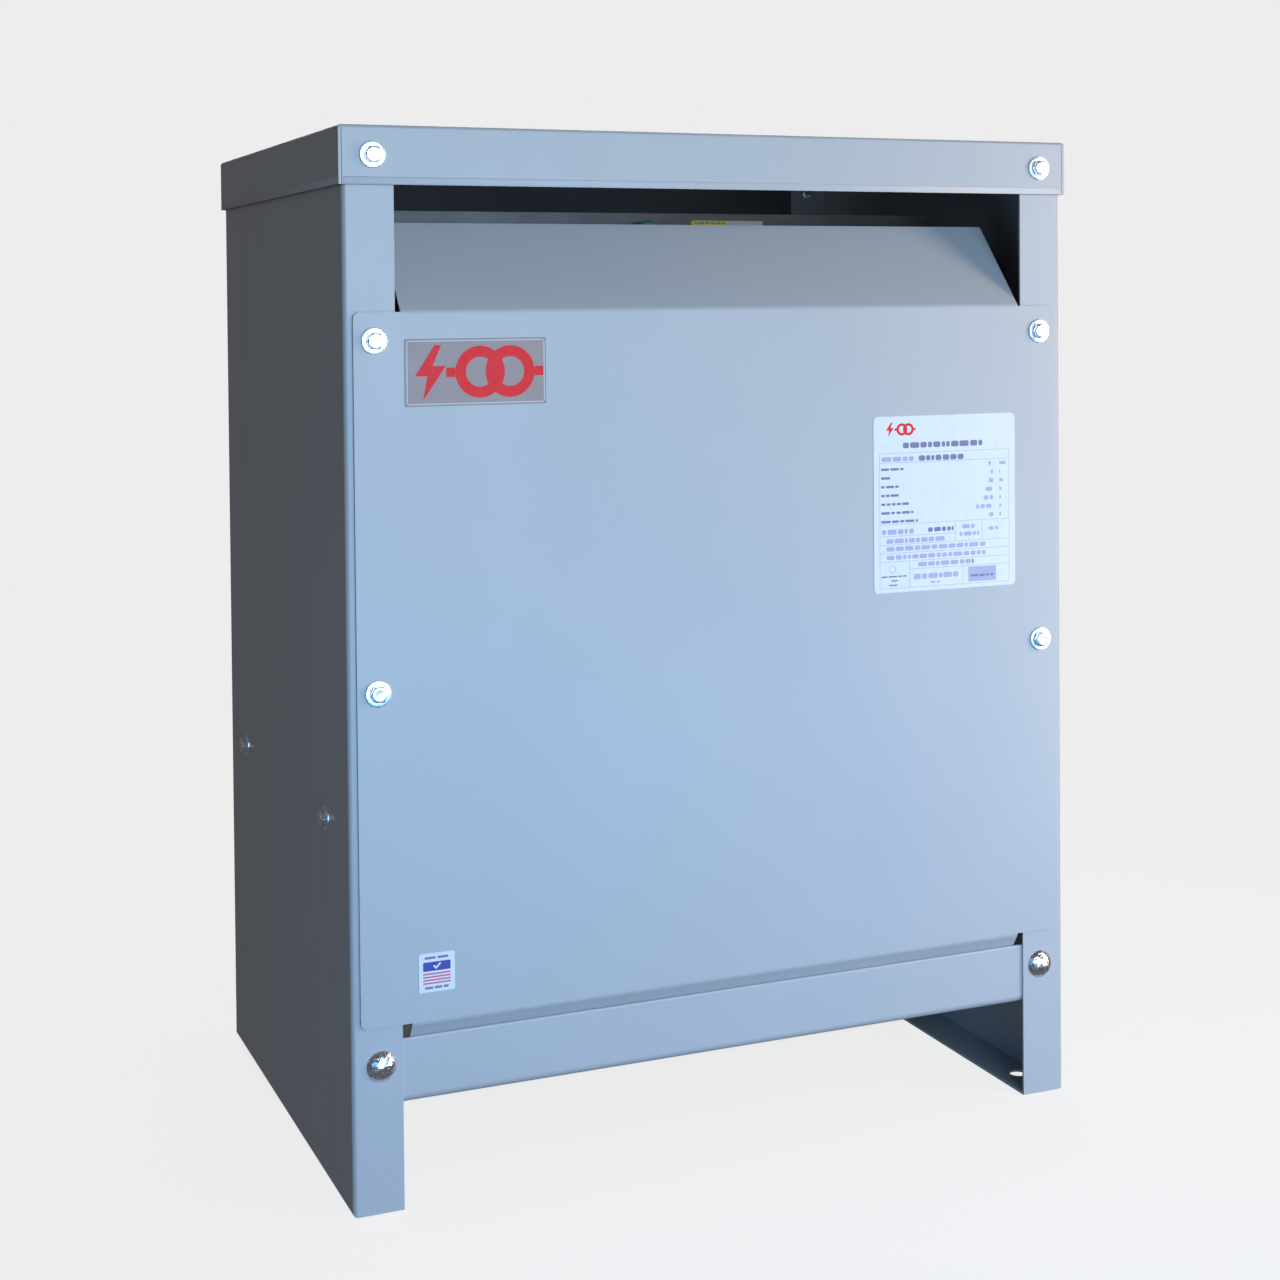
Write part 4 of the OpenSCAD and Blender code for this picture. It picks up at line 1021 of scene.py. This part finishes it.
def dashes(u, v, width, height, draw):
    """A line of short blocks that stands for a line of print, with no letter in it."""
    out, at = [], u
    while at < u + width - 1:
        length = min(draw.uniform(2.5, 8.5), u + width - at)
        out.append(soft_bar(at, v, length, height, height * 0.3))
        at += length + draw.uniform(0.9, 1.4)
    return out


def bolt_mark(u, v, w, h):
    """A plain zigzag flash."""
    corners = ((0.62, 0.0), (0.08, 0.56), (0.42, 0.56), (0.30, 1.0), (0.92, 0.38), (0.56, 0.38), (0.80, 0.0))
    return [(u + w * a, v + h * b) for a, b in corners]


def ring_mark(u, v, outer, inner, parts=28):
    """A ring as short blocks."""
    out = []
    for k in range(parts):
        a, b = (2 * math.pi * (k + s) / parts for s in (0, 1))
        corners = ((inner, a), (outer, a), (outer, b), (inner, b))
        out.append([(u + r * math.cos(t), v + r * math.sin(t)) for r, t in corners])
    return out


def coil_pair(u, v, scale):
    """The drawing sign of any transformer: two rings side by side, with a lead on each side."""
    outer, inner, apart, lead = 16.5 * scale, 9.5 * scale, 10 * scale, 6 * scale
    left = ring_mark(u - apart, v, outer, inner)
    right = ring_mark(u + apart, v, outer, inner)
    left.append(bar(u - apart - outer - lead, v - 3 * scale, lead, 6 * scale))
    right.append(bar(u + apart + outer, v - 3 * scale, lead, 6 * scale))
    return left, right


def add_rating_plate():
    refined("rating_plate", "plate_print", 0.12)
    draw = random.Random(11)
    plate = Print("rating_plate")
    first, second = coil_pair(28, 10.3, 0.29)
    plate.add("rating_plate_mark", [bolt_mark(10.5, 4.8, 8, 11)] + first, "plate_print", RED_INK)
    plate.add("rating_plate_mark_ring", second, "plate_print", RED_INK, 0.07)
    dark = dashes(26, 20.6, 73, 4.4, draw)
    dark += dashes(40, 31, 42, 4.2, draw)
    pale = dashes(7, 31.4, 29, 3.6, draw)
    for row in range(7):
        v = 40 + 6.75 * row
        dark += dashes(6.5, v, (20, 10, 16.5, 17, 24.5, 28.5, 32.5)[row], 1.9, draw)
        value = (4.5, 2.2, 4, 7, 9, 16, 4)[row]
        pale += dashes(110 - value - 2.5, v - 2.2, value, 3.2, draw)
        pale.append(soft_bar(113, v - 2, (6, 0.9, 3.4, 2, 1.6, 1.6, 1.6)[row], 2.6, 0.4))
    pale += dashes(7, 87.6, 29, 3.8, draw)
    dark += dashes(48, 87.4, 23, 3.4, draw)
    pale += dashes(11, 94.8, 54, 3.6, draw)
    pale += dashes(79, 86.6, 13, 3.2, draw) + dashes(76.5, 92.4, 18, 3.2, draw)
    pale += dashes(103, 89.4, 9, 2.6, draw)
    pale += dashes(11, 101, 89, 3.4, draw) + dashes(11, 107.6, 89, 3.4, draw) + dashes(39, 114, 50, 3.4, draw)
    pale += dashes(35, 123, 40, 4.2, draw) + dashes(50, 129.4, 10, 1.6, draw)
    dark += dashes(6.5, 123.4, 22, 1.2, draw)
    dark += dashes(15, 126.8, 6, 1.1, draw) + dashes(13, 130.2, 9, 1.1, draw)
    pale += ring_mark(16, 118.4, 3.1, 2.6)
    lines = [bar(5, v, 117, 0.35) for v in (28.4, 35.8, 83.4, 99.2, 105.8, 112.4)]
    lines += [bar(5, 92.6, 68, 0.35), bar(31, 118.8, 91, 0.35), bar(5, 133, 117, 0.35)]
    lines += [bar(5, 28.4, 0.35, 104.6), bar(121.7, 28.4, 0.35, 104.9)]
    lines += [bar(72.6, 83.4, 0.35, 15.8), bar(97, 83.4, 0.35, 15.8), bar(31, 112.4, 0.35, 20.6),
              bar(79.2, 118.8, 0.35, 14.2)]
    plate.add("rating_plate_lines", lines, "plate_print", PALE_INK, 0.04)
    plate.add("rating_plate_rows", dark, "plate_print", GREY_INK)
    plate.add("rating_plate_values", pale, "plate_print", PALE_INK)
    plate.add("rating_plate_block", [bar(84.2, 120.2, 25.4, 11.6)], "plate_print", PALE_INK, 0.03)
    plate.add("rating_plate_block_row", dashes(86.5, 126.4, 20.5, 1.7, draw), "plate_print", GREY_INK, 0.06)


def add_badge():
    refined("badge", "badge_print", 0.12)
    badge = Print("badge")
    first, second = coil_pair(66.5, 23.8, 1.12)
    badge.add("badge_mark", [bolt_mark(5, 4.4, 27, 39)] + first, "badge_print", RED_INK)
    badge.add("badge_mark_ring", second, "badge_print", RED_INK, 0.07)
    edge = 0.7
    w, h = badge.high.x - badge.low.x, badge.high.z - badge.low.z
    badge.add("badge_border", [bar(1.2, 1.2, w - 2.4, edge), bar(1.2, h - 1.2 - edge, w - 2.4, edge),
                               bar(1.2, 1.2, edge, h - 2.4), bar(w - 1.2 - edge, 1.2, edge, h - 2.4)],
              "badge_print", PALE_FOIL, 0.04)


def add_small_label():
    refined("small_label", "label_print", 0.12)
    draw = random.Random(23)
    label = Print("small_label")
    label.add("small_label_block", [soft_bar(3.2, 6.2, 20.2, 6.4, 0.9)], "label_print", BLUE_INK)
    tick = [(10.5, 9.3), (11.5, 8.4), (12.8, 9.8), (15.6, 6.9), (16.5, 7.8), (12.8, 11.6)]
    label.add("small_label_tick", [tick], "label_print", WHITE_FOIL, 0.08)
    bars = [bar(3.2, 14.1 + 2.2 * k, 20.2, 1.1) for k in range(4)]
    label.add("small_label_bars", bars, "label_print", PINK_INK)
    label.add("small_label_rows", dashes(4.4, 2.4, 17.5, 1.7, draw) + dashes(4.4, 23.6, 17.5, 1.7, draw),
              "label_print", GREY_INK)


def add_board_label():
    refined("board_label", "yellow_print", 0.12)
    draw = random.Random(31)
    label = Print("board_label")
    w, h = label.high.x - label.low.x, label.high.z - label.low.z
    label.add("board_label_half", [bar(w * 0.5, 0.5, w * 0.5 - 0.6, h - 1)], "yellow_print", PALE_FOIL, 0.05)
    rows = []
    for v, height in ((1.4, 1.2), (5, 2.6), (11, 2.0)):
        rows += dashes(3, v, w * 0.42, height, draw)
    label.add("board_label_rows", rows, "yellow_print", GREY_INK, 0.07)


# ---------------------------------------------------------------- the model

add_camera()
add_studio()

# Case sheets: rounded edges in the lighter coat, partly worn paint and partly a painted highlight.
for node in ("side_panel_left", "side_panel_right", "front_rail", "rear_rail"):
    refined(node, "case_paint", edge_wear_and_highlight=EDGE_WEAR_AND_HIGHLIGHT)
# The lid and the front and rear panels also get painted shade on the faces that look into the case.
for node in ("lid", "front_panel", "rear_panel"):
    refined(node, "case_paint", edge_wear_and_highlight=EDGE_WEAR_AND_HIGHLIGHT, inner_painted_shade=INNER_PAINTED_SHADE)
for node in ("side_braces", "core_supports", "lower_clamps", "upper_clamps", "terminal_brackets"):
    refined(node, "bare_steel", 0.5)
for node in ("coil_formers", "duct_spacers", "coil_blocks"):
    refined(node, "insulation", 0.3)
refined("isolation_pads", "rubber", 1.2, 3)
refined("terminal_board", "board", 0.7)
refined("terminal_lugs", "lug_metal", 0.7, 3)
refined("lv_busbars", "copper", 0.6, 3)
refined("neutral_busbar", "copper", 0.6, 3)
refined("ground_strap", "copper", 0.3)
refined("hv_leads", "lead_sleeve", 0.5)
refined("bonding_lead", "green_sleeve", 0.4)

add_all_fasteners()
add_lid_hem()
add_core()
for letter in "abc":
    add_winding(f"lv_winding_{letter}", 13, 30, 0.6, 4.7, LV_COIL)
    add_winding(f"hv_winding_{letter}", 18, 86, 0.5, 43.7, HV_COIL)

add_rating_plate()
add_badge()
add_small_label()
add_board_label()
